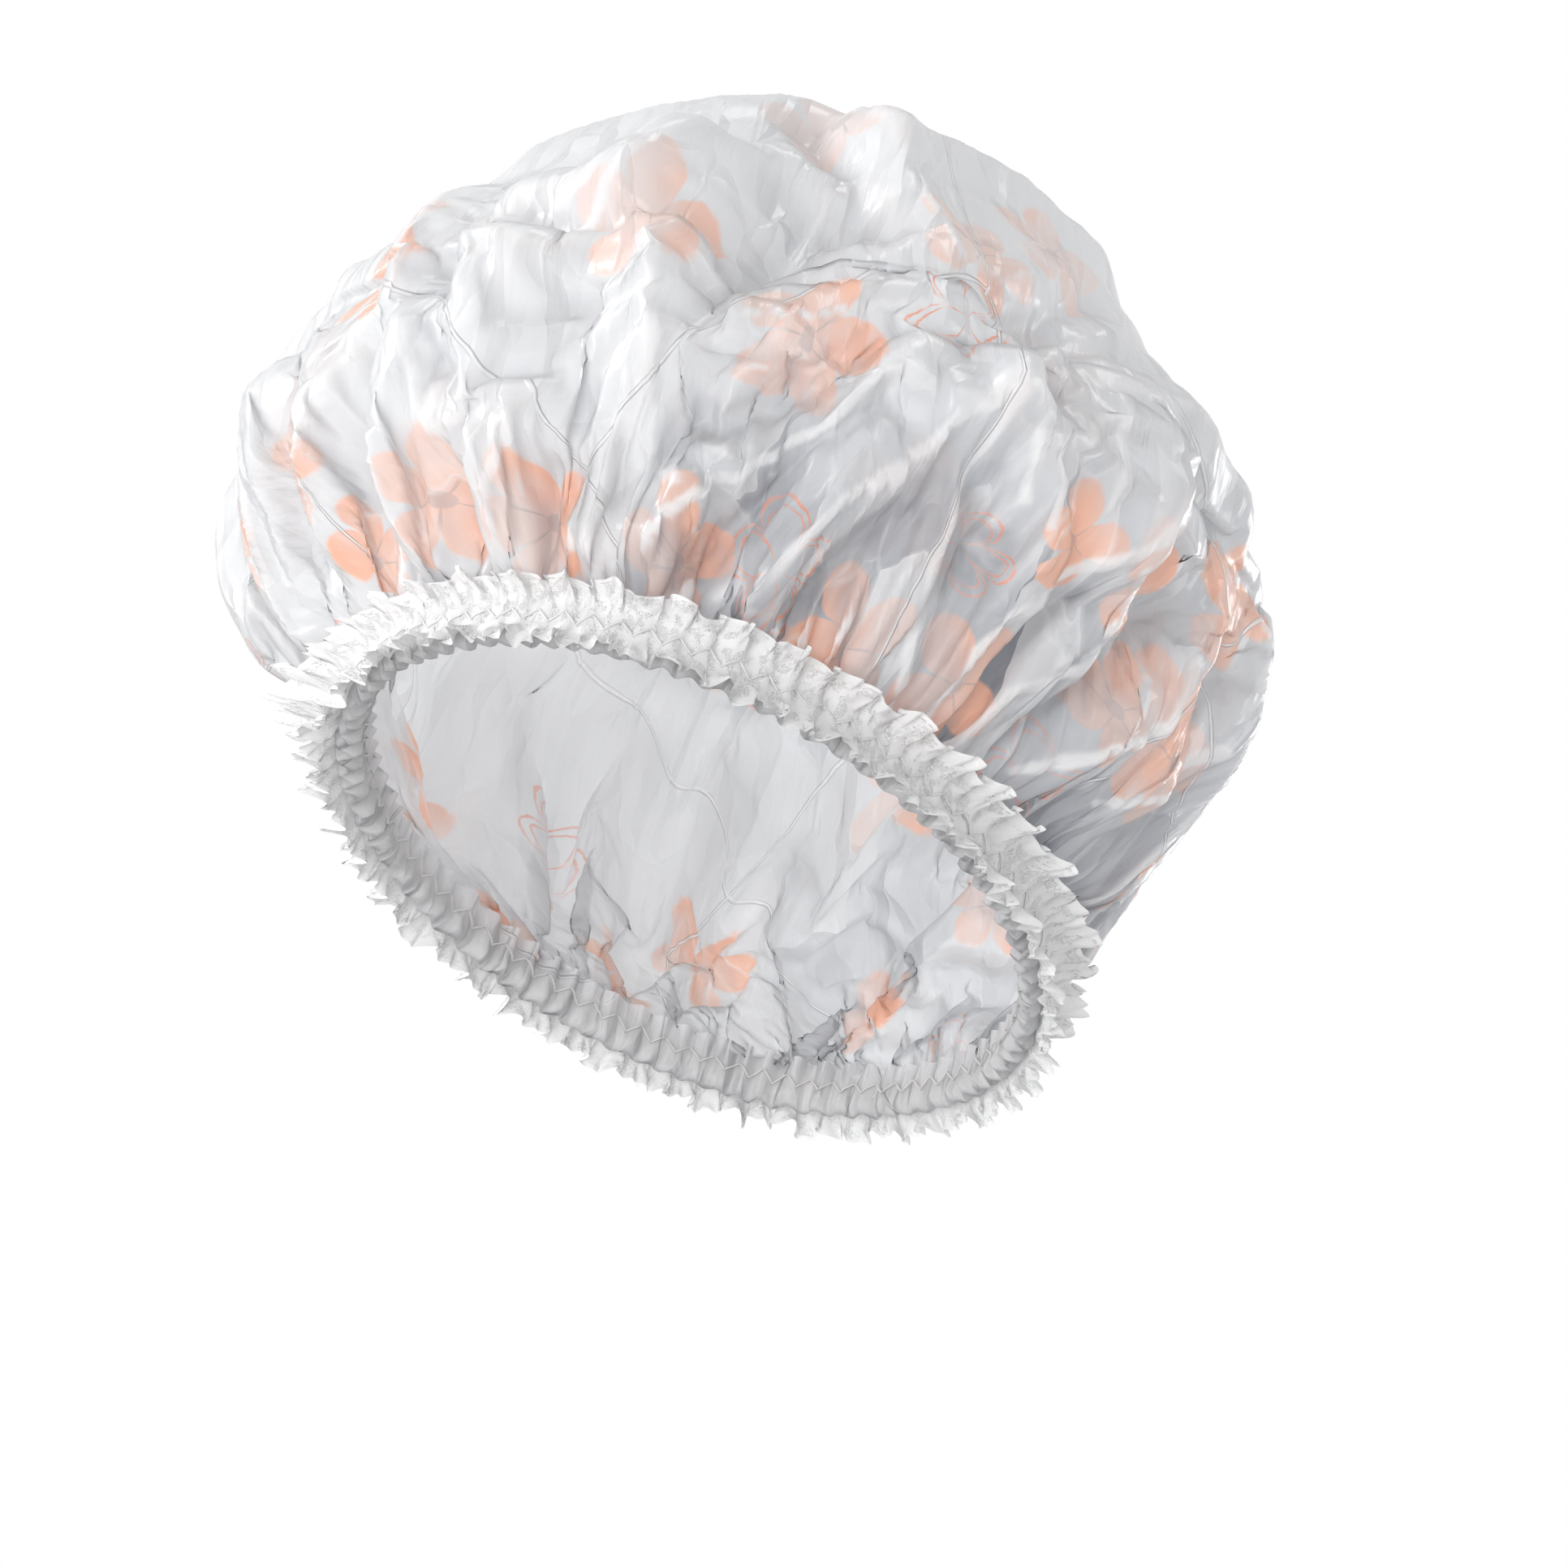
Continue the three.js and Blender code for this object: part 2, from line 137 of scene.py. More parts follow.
def add_strip_uv(piece: bpy.types.Object, along: Array, across: Array, period: float) -> None:
    """UV map of a closed strip whose last column of faces joins its first.

    Args:
        piece: the piece.
        along: length along the flat strip for each point.
        across: height across the flat strip for each point.
        period: the flat strip's whole length, which the joining faces' far corners get added.
    """
    corners = corner_points(piece)
    u = along[corners].reshape(-1, 4)
    joins = u.max(axis=1, keepdims=True) - u.min(axis=1, keepdims=True) > period / 2
    u = np.where(joins & (u < period / 2), u + period, u).ravel()
    layer = piece.data.uv_layers.new(name="strip")
    places = np.stack([u, across[corners]], axis=-1)
    layer.uv.foreach_set("vector", places.astype(np.float32).ravel())


# Shapes that several pieces share


@dataclass(frozen=True)
class ElasticOval:
    """Oval that the stretched elastic follows."""

    half_width: float = 0.0775
    half_depth: float = 0.100

    def outward(self, turn: Array) -> Array:
        """Direction square to the oval, outwards."""
        across, ahead = self.half_depth * np.cos(turn), self.half_width * np.sin(turn)
        return unit(np.stack([across, ahead, np.zeros_like(turn)], axis=-1))

    def at(self, turn: Array, out: Array, height: Array) -> Array:
        """Point of the oval at a turn, moved outwards and up.

        Args:
            turn: the oval's own angle, from +X towards +Y.
            out: how far it moves square to the oval.
            height: how far it moves up.

        Returns:
            One point for each of them.
        """
        turn, out, height = np.broadcast_arrays(turn, out, height)
        across, ahead = self.half_width * np.cos(turn), self.half_depth * np.sin(turn)
        return np.stack([across, ahead, height], axis=-1) + self.outward(turn) * out[..., None]

    def length(self) -> float:
        """Length round the oval, by Ramanujan's formula."""
        a, b = self.half_width, self.half_depth
        return math.pi * (3 * (a + b) - math.sqrt((3 * a + b) * (a + 3 * b)))


@dataclass(frozen=True)
class Gathers:
    """Pleats that the elastic draws film and lace into. They are sewn together and share them."""

    count: int = 84
    wander: Waves = ((5, 1.3, 0.7), (11, 0.9, 2.0), (23, 0.45, 4.1))
    uneven: Waves = ((7, 0.3, 1.0), (17, 0.2, 0.0), (31, 0.15, 2.6))

    def phase(self, turn: Array) -> Array:
        """Phase of the pleats: the count times the turn, plus slow waves that make them uneven."""
        return self.count * turn + waves(turn, self.wander)

    def height(self, turn: Array) -> Array:
        """Height of the pleats as a share of their mean: one plus slow waves."""
        return 1 + waves(turn, self.uneven)


@dataclass(frozen=True)
class CrownForm:
    """Smooth crown without folds, from the casing out to the widest line and up to the top."""

    opening: ElasticOval = ElasticOval()
    casing_out: float = 0.00225
    casing_top: float = 0.014
    half_width: float = 0.124
    half_depth: float = 0.124
    middle: Pair = (-0.007, -0.009)
    widest_height: float = 0.091
    widest_tilt: Pair = (-0.003, 0.020)
    top: Triple = (0.006, -0.034, 0.192)
    turn_in_power: float = 2.1
    dome_power: float = 1.25
    widest_rise: float = 1 / 3
    normal_step: float = 0.004
    table_spokes: int = 180
    table_steps: int = 240

    def point(self, turn: Array, rise: Array) -> Array:
        """Point of the crown.

        Below the widest line the point goes from the casing to the widest line: outwards by the
        sine of the swing raised to a power, and up by one minus its cosine. Above it the point
        goes to the top: inwards by the cosine of the swing, and up by its sine raised to a power.

        Args:
            turn: angle about +Z.
            rise: share of the way up.

        Returns:
            One point for each turn and rise.
        """
        turn, rise = np.broadcast_arrays(turn, rise)
        cos, sin = np.cos(turn), np.sin(turn)
        seam = self.opening.at(turn, self.casing_out, self.casing_top)
        height = self.widest_height + self.widest_tilt[0] * cos + self.widest_tilt[1] * sin
        across = self.middle[0] + self.half_width * cos
        ahead = self.middle[1] + self.half_depth * sin
        wide = np.stack([across, ahead, height], axis=-1)
        swing = np.clip(rise / self.widest_rise, 0, 1) * math.pi / 2
        out = np.sin(swing) ** self.turn_in_power
        lower = seam + (wide - seam) * np.stack([out, out, 1 - np.cos(swing)], axis=-1)
        swing = np.clip((rise - self.widest_rise) / (1 - self.widest_rise), 0, 1) * math.pi / 2
        top = np.array(self.top)
        inward, up = 1 - np.cos(swing), np.sin(swing) ** self.dome_power
        upper = wide + (top - wide) * np.stack([inward, inward, up], axis=-1)
        return np.where((rise < self.widest_rise)[..., None], lower, upper)

    def normal(self, turn: Array, rise: Array) -> Array:
        """Direction square to the smooth crown, from short steps round it and up it.

        Args:
            turn: angle about +Z.
            rise: share of the way up.

        Returns:
            The cross product of the two steps, made one long.
        """
        step = self.normal_step
        around = self.point(turn + step, rise) - self.point(turn - step, rise)
        above, below = np.minimum(rise + step, 1), np.maximum(rise - step, 0)
        upward = self.point(turn, above) - self.point(turn, below)
        return unit(np.cross(around, upward))

    def rise_at(self, turn: Array, share: Array) -> Array:
        """Rise at which a share of the way from casing to top is done, measured along the crown.

        Args:
            turn: angle about +Z.
            share: share of the length along the crown at that turn.

        Returns:
            The rise for each turn and share, read from a table of lengths.
        """
        spokes, steps = self.table_spokes, self.table_steps
        turns, rises = np.linspace(0, TURN, spokes + 1), np.linspace(0, 1, steps + 1)
        path = self.point(turns[:, None], rises[None])
        length = np.cumsum(np.linalg.norm(np.diff(path, axis=1), axis=-1), axis=1)
        length = np.concatenate([np.zeros((spokes + 1, 1)), length], axis=1)
        table = np.array([np.interp(rises, row / row[-1], rises) for row in length])
        column = (turn % TURN) / TURN * spokes
        row = np.clip(share, 0, 1) * steps
        i, j = np.clip(column.astype(int), 0, spokes - 1), np.clip(row.astype(int), 0, steps - 1)
        f, g = column - i, row - j
        low = table[i, j] * (1 - g) + table[i, j + 1] * g
        high = table[i + 1, j] * (1 - g) + table[i + 1, j + 1] * g
        return low * (1 - f) + high * f


# Film crown


@dataclass(frozen=True)
class Crease:
    """Sharp fold of the film: a ridge or a hollow whose two sides fall off evenly from one line."""

    line: tuple[Pair, ...]
    height: float
    reach: float


class Bloom(Enum):
    """How a printed flower is drawn."""

    FILLED = 1.0
    LINES = 0.5


@dataclass(frozen=True)
class Flower:
    """One printed flower, placed by turn in degrees and by rise.

    Its width round the disc is its height times the stretch, because the film is gathered there.
    """

    turn: float
    rise: float
    radius: float
    spin: float
    stretch: float = 1.0
    bloom: Bloom = Bloom.FILLED


MAIN_CREASES = (
    Crease(((-71.5, 0.18), (-70.5, 0.26), (-67, 0.33), (-64, 0.43), (-59, 0.58)), -0.016, 0.018),
    Crease(((-74, 0.13), (-72, 0.23), (-69, 0.30), (-69.5, 0.35), (-72, 0.43)), 0.013, 0.016),
    Crease(((-94, 0.46), (-92.5, 0.51), (-83.5, 0.51), (-80.5, 0.53), (-79.5, 0.60)), 0.010, 0.014),
    Crease(((-94.5, 0.47), (-89, 0.48), (-83, 0.47)), -0.009, 0.012),
    Crease(((-94.5, 0.35), (-92, 0.44), (-83, 0.43), (-79.5, 0.51), (-74.5, 0.60)), 0.012, 0.015),
    Crease(((-91.5, 0.22), (-96.5, 0.28), (-103, 0.42), (-107, 0.53)), 0.010, 0.014),
    Crease(((-94, 0.29), (-96, 0.34), (-98, 0.42)), -0.008, 0.011),
    Crease(((-102, 0.38), (-107, 0.27), (-108, 0.20), (-106, 0.12)), -0.008, 0.012),
    Crease(((-102, 0.24), (-102.5, 0.17), (-101, 0.10)), 0.008, 0.011),
    Crease(((-91, 0.11), (-91.5, 0.18), (-91.5, 0.21)), -0.011, 0.011),
    Crease(((-80.5, 0.09), (-81, 0.15), (-80, 0.21)), -0.010, 0.011),
    Crease(((-87, 0.10), (-86, 0.18), (-82.5, 0.25)), 0.010, 0.013),
    Crease(((-65.5, 0.15), (-59, 0.21), (-53, 0.25), (-48, 0.29), (-42.5, 0.39)), 0.013, 0.014),
    Crease(((-61.5, 0.25), (-54.5, 0.28), (-48.5, 0.33), (-44.5, 0.41)), -0.011, 0.013),
    Crease(((-51, 0.10), (-48, 0.18), (-45, 0.23), (-40, 0.28), (-33, 0.36)), 0.013, 0.013),
    Crease(((-59.5, 0.13), (-54, 0.20), (-49, 0.26), (-43, 0.31)), -0.012, 0.013),
    Crease(((-45.5, 0.10), (-42, 0.17), (-40, 0.21), (-37, 0.28)), -0.011, 0.014),
    Crease(((-26, 0.06), (-30, 0.16), (-32, 0.23), (-32.5, 0.29), (-32.5, 0.37)), 0.012, 0.014),
    Crease(((-26, 0.10), (-27.5, 0.17), (-28, 0.23), (-30.5, 0.28)), -0.011, 0.015),
    Crease(((-27, 0.29), (-31.5, 0.37), (-33.5, 0.48)), 0.009, 0.010),
    Crease(((-23.5, 0.28), (-25.5, 0.34), (-18, 0.41), (-17.5, 0.31)), 0.009, 0.012),
    Crease(((-21.5, 0.07), (-22.5, 0.17), (-21, 0.21), (-17, 0.26), (-11, 0.32), (-9.5, 0.40)), 0.015, 0.016),
    Crease(((-18, 0.09), (-17.5, 0.18), (-15.5, 0.23), (-11, 0.27)), -0.013, 0.015),
    Crease(((-16, 0.07), (-14, 0.16), (-9.5, 0.21), (-6.5, 0.26), (-11, 0.29)), 0.011, 0.013),
    Crease(((-9, 0.11), (-7, 0.18), (-1, 0.23), (4, 0.27)), -0.010, 0.013),
    Crease(((-5.5, 0.11), (0.5, 0.18), (9, 0.23), (10, 0.28)), 0.010, 0.014),
    Crease(((-33.5, 0.48), (-27, 0.53), (-10.5, 0.64)), -0.007, 0.010),
    Crease(((-32.5, 0.47), (-22, 0.53), (-21.5, 0.47), (-26.5, 0.39)), -0.008, 0.011),
    Crease(((-61.5, 0.38), (-53.5, 0.40), (-45, 0.44), (-34, 0.47)), 0.006, 0.010),
    Crease(((-65, 0.34), (-62.5, 0.39), (-61, 0.48), (-57, 0.61)), 0.008, 0.012),
    Crease(((-62.5, 0.47), (-59, 0.53), (-55, 0.58)), -0.007, 0.010),
    Crease(((-56, 0.75), (-46.5, 0.63), (-39.5, 0.52)), 0.008, 0.012),
    Crease(((-65.5, 0.74), (-54.5, 0.65), (-49.5, 0.56)), -0.007, 0.012),
    Crease(((-111.5, 0.29), (-115.5, 0.24), (-118, 0.17)), 0.007, 0.012),
    Crease(((-120, 0.29), (-124, 0.23), (-124.5, 0.17)), -0.007, 0.011),
    Crease(((-4, 0.30), (5.5, 0.29), (15, 0.27)), -0.008, 0.012),
    Crease(((7, 0.15), (15.5, 0.20), (21.5, 0.26)), 0.009, 0.012),
    Crease(((-134, 0.06), (-134, 0.20), (-130, 0.34)), 0.009, 0.015),
    Crease(((-48, 0.70), (-30, 0.78), (0, 0.74)), 0.009, 0.015),
    Crease(((-110, 0.66), (-90, 0.72), (-70, 0.80)), 0.005, 0.015),
    Crease(((-20, 0.45), (-4, 0.50), (10, 0.47)), 0.009, 0.016),
    Crease(((22, 0.10), (26, 0.22), (22, 0.34)), 0.010, 0.015),
)

FRONT_FLOWERS = (
    Flower(-53.5, 0.375, 0.022, 10, 1.3),
    Flower(-81, 0.15, 0.021, 40, 1.5),
    Flower(-96, 0.175, 0.021, 5, 1.5),
    Flower(-119, 0.25, 0.020, 60, 1.4),
    Flower(-112, 0.13, 0.018, 15, 1.4),
    Flower(-62, 0.13, 0.021, 20, 1.6),
    Flower(-49, 0.15, 0.018, 30, 1.6, Bloom.LINES),
    Flower(-36, 0.10, 0.021, 50, 1.7),
    Flower(-21.5, 0.13, 0.021, 0, 1.7),
    Flower(-28, 0.235, 0.011, 12, 1.7, Bloom.LINES),
    Flower(-19, 0.28, 0.013, 30, 1.4),
    Flower(-6, 0.30, 0.020, 33, 1.4),
    Flower(13, 0.225, 0.024, 14, 1.5),
    Flower(1, 0.215, 0.016, 70, 1.5),
    Flower(-4, 0.10, 0.017, 45, 1.6, Bloom.LINES),
    Flower(14, 0.33, 0.020, 25, 1.3),
    Flower(-74.5, 0.48, 0.022, 25, 1.1),
    Flower(-110, 0.46, 0.021, 50, 1.2),
    Flower(-36, 0.56, 0.020, 8, 1.1),
    Flower(-60, 0.74, 0.021, 36),
    Flower(-19, 0.66, 0.020, 20),
    Flower(-38, 0.45, 0.014, 0, 1.2, Bloom.LINES),
)

CLOTH: dict[str, float | str] = {
    "quality": 5, "mass": 0.05, "air_damping": 1.0,
    "tension_stiffness": 60, "compression_stiffness": 10, "shear_stiffness": 15,
    "bending_model": "ANGULAR", "bending_stiffness": 4.0, "bending_damping": 0.5,
    "tension_damping": 5, "compression_damping": 5, "shear_damping": 5,
    "vertex_group_mass": "held", "pin_stiffness": 20,
}
CLOTH_GRAVITY = 0.15


@dataclass
class CrownFilm:
    """Crown and casing of one film disc, gathered by cloth simulation from the flat cut."""

    form: CrownForm = field(default_factory=CrownForm)
    gathers: Gathers = field(default_factory=Gathers)
    creases: tuple[Crease, ...] = MAIN_CREASES
    flowers: tuple[Flower, ...] = FRONT_FLOWERS
    disc_radius: float = 0.2905
    panel_radius: float = 0.2630
    disc_shift: Pair = (-0.0147, 0.0212)
    casing_bottom: float = 0.0022
    casing_round: float = 0.0022
    seam_height: float = 0.0085
    gather_height: float = 0.0013
    half_cells: int = 78
    frames: int = 60
    gather_frames: int = 36
    mean_limit: float = 0.003
    fold_out: float = 0.0055
    fold_in: float = 0.013
    sunk: float = 0.002
    mean_cells: int = 14
    fine_cells: int = 3
    fine_loss: float = 0.45
    smooth_loss: float = 0.85
    ridge_cells: int = 1
    hollow_cells: int = 7
    ridge_highlight: Pair = (0.00022, 0.0010)
    hollow_shade: Pair = (0.0006, 0.0040)
    crest_highlight: Pair = (0.84, 0.985)
    ridge_press: float = 0.55
    hollow_press: float = 0.9
    cloth_press: float = 0.3
    flower_gap: float = 0.062
    ruffling: float = 0.0028
    rounding: float = 0.5
    seam_pleats: float = 0.35
    seam_ease: Pair = (0.001, 0.005)
    cone_length: float = 0.265
    cone_narrowing: float = 1.33
    ruffle_reach: float = 0.06
    casing_ease: float = 0.03
    crease_ease: float = 0.06
    press_ease: float = 0.08
    smooth_rise: Pair = (0.12, 0.35)
    swell_height: float = 0.0035
    swell_count: int = 22
    swell_band: Pair = (0.3, 0.2)
    panel_hold: float = 0.08
    crease_hold: float = 0.3
    hold_steps: int = 40
    bell_spread: float = 1.1
    bell_height: float = 0.12
    inner_size: float = 0.93
    inner_middle: float = 0.075
    inner_spokes: int = 48
    inner_rings: int = 20
    cloth_gap: float = 0.002
    crumples: tuple[Pair, ...] = ((0.045, 0.0028), (0.021, 0.0012), (0.010, 0.0003))
    crumple_middle: float = 0.45
    crumple_warp: float = 0.35
    crumple_ease: Pair = (0.012, 0.05)
    crumple_seed: int = 11
    spiral_places: int = 260
    lines_radius: float = 0.018
    filled_radius: Pair = (0.0205, 0.003)
    spiral_stretch: float = 1.3

    def disc(self, cells: int) -> tuple[Array, Array]:
        """Square grid of points carried onto the flat disc, ring by ring.

        A square ring at distance d from the middle becomes a circle of radius d, and a point keeps
        its share of the way along the ring's side as a share of a quarter turn.

        Args:
            cells: number of cells from the middle to the edge.

        Returns:
            The points' places on the flat disc, and the distance of each from the middle.
        """
        side = np.linspace(-1, 1, 2 * cells + 1)
        x, y = np.meshgrid(side, side, indexing="ij")
        sideways = np.abs(x) >= np.abs(y)
        with np.errstate(divide="ignore", invalid="ignore"):
            quarter = np.where(sideways, y / x, x / y)
        quarter = np.nan_to_num(quarter) * math.pi / 4
        angle = np.where(sideways, quarter, math.pi / 2 - quarter)
        ring = np.maximum(np.abs(x), np.abs(y))
        sign = np.where(sideways, np.sign(x), np.sign(y))
        away = sign * ring * self.disc_radius
        flat = np.stack([away * np.cos(angle), away * np.sin(angle)], axis=-1).reshape(-1, 2)
        return flat, ring.ravel() * self.disc_radius

    def faces(self, cells: int) -> NDArray[np.int64]:
        """Quads of the disc's grid, facing up when flat and outwards when worn."""
        return grid_faces(2 * cells + 1, 2 * cells + 1, False)[:, ::-1]

    def place(self, flat: Array) -> tuple[Array, Array]:
        """Turn and share of the way to the top of each point of the flat panel.

        The crown is longer over the back and its right than over the rest, so the disc's
        middle lies beside the crown's top, and the flat places are shifted before they are read.

        Args:
            flat: places on the flat disc.

        Returns:
            The turns, and the shares of the length from the casing to the top.
        """
        away = np.linalg.norm(flat, axis=-1)
        inner = 1 - np.clip(away / self.panel_radius, 0, 1) ** 2
        moved = flat + np.array(self.disc_shift) * inner[:, None]
        turn = np.arctan2(moved[:, 1], moved[:, 0])
        return turn, 1 - np.clip(np.linalg.norm(moved, axis=-1) / self.panel_radius, 0, 1)

    def casing(self, flat: Array, away: Array) -> Array:
        """Points of the turned-under edge: down the outside, round the bottom and up the inside.

        The path across the casing is a long U: straight down, half a circle, straight up. The
        pleats move it in and out, less at the seam line, where the stitches press it.

        Args:
            flat: places on the flat disc.
            away: their distances from the disc's middle.

        Returns:
            The worn places.
        """
        form = self.form
        turn = np.arctan2(flat[:, 1], flat[:, 0])
        down = np.clip(away - self.panel_radius, 0, None)
        straight = form.casing_top - self.casing_bottom - self.casing_round
        bend = math.pi * self.casing_round
        swing = np.clip((down - straight) / self.casing_round, 0, math.pi)
        rise = np.clip(down - straight - bend, 0, None)
        low = self.casing_bottom + self.casing_round
        under = low - self.casing_round * np.sin(swing) + rise
        height = np.where(down < straight, form.casing_top - down, under)
        out = np.where(down < straight, form.casing_out, form.casing_out * np.cos(swing))
        pleat = np.sin(self.gathers.phase(turn)) * self.gathers.height(turn) * self.gather_height
        free = smooth_step(np.abs(height - self.seam_height), *self.seam_ease)
        pressed = self.seam_pleats + (1 - self.seam_pleats) * free
        return form.opening.at(turn, out + pleat * pressed, height)

    def crease_heights(self, turn: Array, rise: Array) -> tuple[Array, Array, Array]:
        """Height of all creases, and how near each point is to a crease and to a ridge.

        One crease is a tent: its height at its line, less in proportion to the distance from the
        line, and nothing past its reach. Distances are measured on a cone that is as wide as the
        crown at the widest line and narrows to the top.

        Args:
            turn: angle about +Z.
            rise: share of the way up.

        Returns:
            The heights in metres, and from 0 to 1 the nearness to any crease and to a ridge.
        """
        form = self.form
        above = np.clip((rise - form.widest_rise) / (1 - form.widest_rise), 0, 1)
        width, length = form.half_width * np.cos(above * self.cone_narrowing), self.cone_length
        heights, nearness, crest = np.zeros_like(turn), np.zeros_like(turn), np.zeros_like(turn)
        for crease in self.creases:
            ends = np.array(crease.line) * (math.radians(1), 1)
            middle = ends[:, 0].mean()
            local = (turn - middle + math.pi) % TURN - math.pi + middle
            nearest = np.full_like(turn, 1.0)
            for (turn_a, rise_a), (turn_b, rise_b) in zip(ends[:-1], ends[1:]):
                dx, dy = (turn_b - turn_a) * width, (rise_b - rise_a) * length
                px, py = (local - turn_a) * width, (rise - rise_a) * length
                along = np.clip((px * dx + py * dy) / (dx**2 + dy**2), 0, 1)
                nearest = np.minimum(nearest, np.hypot(px - along * dx, py - along * dy))
            tent = np.clip(1 - nearest / crease.reach, 0, None)
            heights += crease.height * tent
            nearness = np.maximum(nearness, tent)
            if crease.height > 0:
                crest = np.maximum(crest, tent)
        return heights, nearness, crest

    def worn(self, flat: Array, away: Array) -> tuple[Array, Array]:
        """Worn places before the cloth simulation, and how firmly each point is held there.

        The panel follows the smooth crown, with the creases and with waves that grow to the
        casing, where they run into the pleats.

        Args:
            flat: places on the flat disc.
            away: their distances from the disc's middle.

        Returns:
            The places, and the holding shares from 0 to 1.
        """
        turn, share = self.place(flat)
        rise = self.form.rise_at(turn, share)
        points, normals = self.form.point(turn, rise), self.form.normal(turn, rise)
        pleats = np.sin(self.gathers.phase(turn)) * self.gathers.height(turn)
        swells = np.sin(self.swell_count * turn + 3 * np.sin(3 * turn) + 4 * share)
        middle, spread = self.swell_band
        ripples = self.ruffling * np.exp(-share / self.ruffle_reach) * pleats
        ripples *= smooth_step(share, -0.02, self.casing_ease)
        ripples += self.gather_height * pleats * (1 - smooth_step(share, 0.0, self.casing_ease))
        ripples += self.swell_height * np.exp(-(((share - middle) / spread) ** 2)) * swells
        heights, nearness, _ = self.crease_heights(turn, rise)
        ripples += self.cloth_press * heights * smooth_step(share, 0.0, self.crease_ease)
        points = points + normals * ripples[:, None]
        panel = away < self.panel_radius
        points = np.where(panel[:, None], points, self.casing(flat, away))
        held = np.where(panel, self.panel_hold + self.crease_hold * nearness, 1.0)
        return points, np.round(np.clip(held, 0, 1) * self.hold_steps) / self.hold_steps

    def opened(self, points: Array) -> Array:
        """The worn shape with its lower part spread like a bell, as before it is gathered.

        Args:
            points: the worn places.

        Returns:
            The places, moved out from the middle in proportion to how low they lie.
        """
        spread = self.bell_spread * np.clip(1 - points[:, 2] / self.bell_height, 0, 1)
        middle = np.array([*self.form.middle, 0.0])
        moved = middle + (points - middle) * (1 + spread[:, None])
        return np.stack([moved[:, 0], moved[:, 1], points[:, 2]], axis=-1)

    def inner_form(self) -> bpy.types.Object:
        """Slightly smaller smooth crown that the film can't fall through.

        Returns:
            The body, which the cloth collides with.
        """
        turns = np.linspace(0, TURN, self.inner_spokes + 1)[:-1]
        rises = np.linspace(0, 1, self.inner_rings)
        points = self.form.point(turns[None], rises[:, None])
        middle = np.array([*self.form.middle, self.inner_middle])
        points = middle + (points - middle) * self.inner_size
        faces = grid_faces(self.inner_rings, self.inner_spokes, True)
        body = make_piece("inner_form", points, faces)
        body.modifiers.new("Collision", "COLLISION")
        body.collision.thickness_outer = self.cloth_gap
        body.collision.cloth_friction = 2
        body.collision.damping = 0.5
        return body

    def simulate(self, flat: Array, gathered: Array, held: Array) -> Array:
        """Draws the opened film in by its rim while it keeps its flat size, and lets it crumple.

        Args:
            flat: places on the flat disc, from which the cloth takes its rest lengths.
            gathered: the worn places, which the rim and the creases are drawn to.
            held: how firmly each point is drawn, from 0 to 1.

        Returns:
            The crumpled places.
        """
        cloth_piece = make_piece("film_cloth", self.opened(gathered), self.faces(self.half_cells))
        cloth_piece.shape_key_add(name="opened")
        rest = cloth_piece.shape_key_add(name="flat")
        rest.data.foreach_set("co", np.column_stack([flat, np.full(len(flat), 0.1)]).ravel())
        drawn = cloth_piece.shape_key_add(name="gathered")
        drawn.data.foreach_set("co", gathered.ravel())
        for number, value in ((1, 0.0), (self.gather_frames, 1.0)):
            drawn.value = value
            drawn.keyframe_insert("value", frame=number)
        group = cloth_piece.vertex_groups.new(name="held")
        for value in np.unique(held[held > 0]):
            group.add(np.nonzero(held == value)[0].tolist(), float(value), "REPLACE")
        modifier = cloth_piece.modifiers.new("Cloth", "CLOTH")
        settings = modifier.settings
        for key, value in CLOTH.items():
            setattr(settings, key, value)
        settings.rest_shape_key = rest
        settings.effector_weights.gravity = CLOTH_GRAVITY
        modifier.collision_settings.distance_min = self.cloth_gap
        modifier.point_cache.frame_start, modifier.point_cache.frame_end = 1, self.frames
        body = self.inner_form()
        scene = bpy.context.scene
        scene.frame_start, scene.frame_end = 1, self.frames
        for number in range(1, self.frames + 1):
            scene.frame_set(number)
        evaluated = cloth_piece.evaluated_get(bpy.context.evaluated_depsgraph_get())
        places = np.empty(len(flat) * 3)
        evaluated.data.vertices.foreach_get("co", places)
        scene.frame_set(1)
        action = cloth_piece.data.shape_keys.animation_data.action
        for used in (cloth_piece, body):
            bpy.data.objects.remove(used)
        bpy.data.actions.remove(action)
        return places.reshape(-1, 3)

    @staticmethod
    def blurred(grid: Array, reach: int) -> Array:
        """Grid of numbers with each one replaced by the mean of its neighbourhood, twice over.

        Args:
            grid: the numbers.
            reach: how many cells the neighbourhood goes to each side.

        Returns:
            The means, from differences of running sums along each axis.
        """
        span = 2 * reach + 1
        for _ in range(2):
            for axis in (0, 1):
                edges = [(reach + 1, reach) if a == axis else (0, 0) for a in (0, 1)]
                total = np.cumsum(np.pad(grid, edges, "edge"), axis)
                near = np.arange(grid.shape[axis])
                grid = (np.take(total, near + span, axis) - np.take(total, near, axis)) / span
        return grid

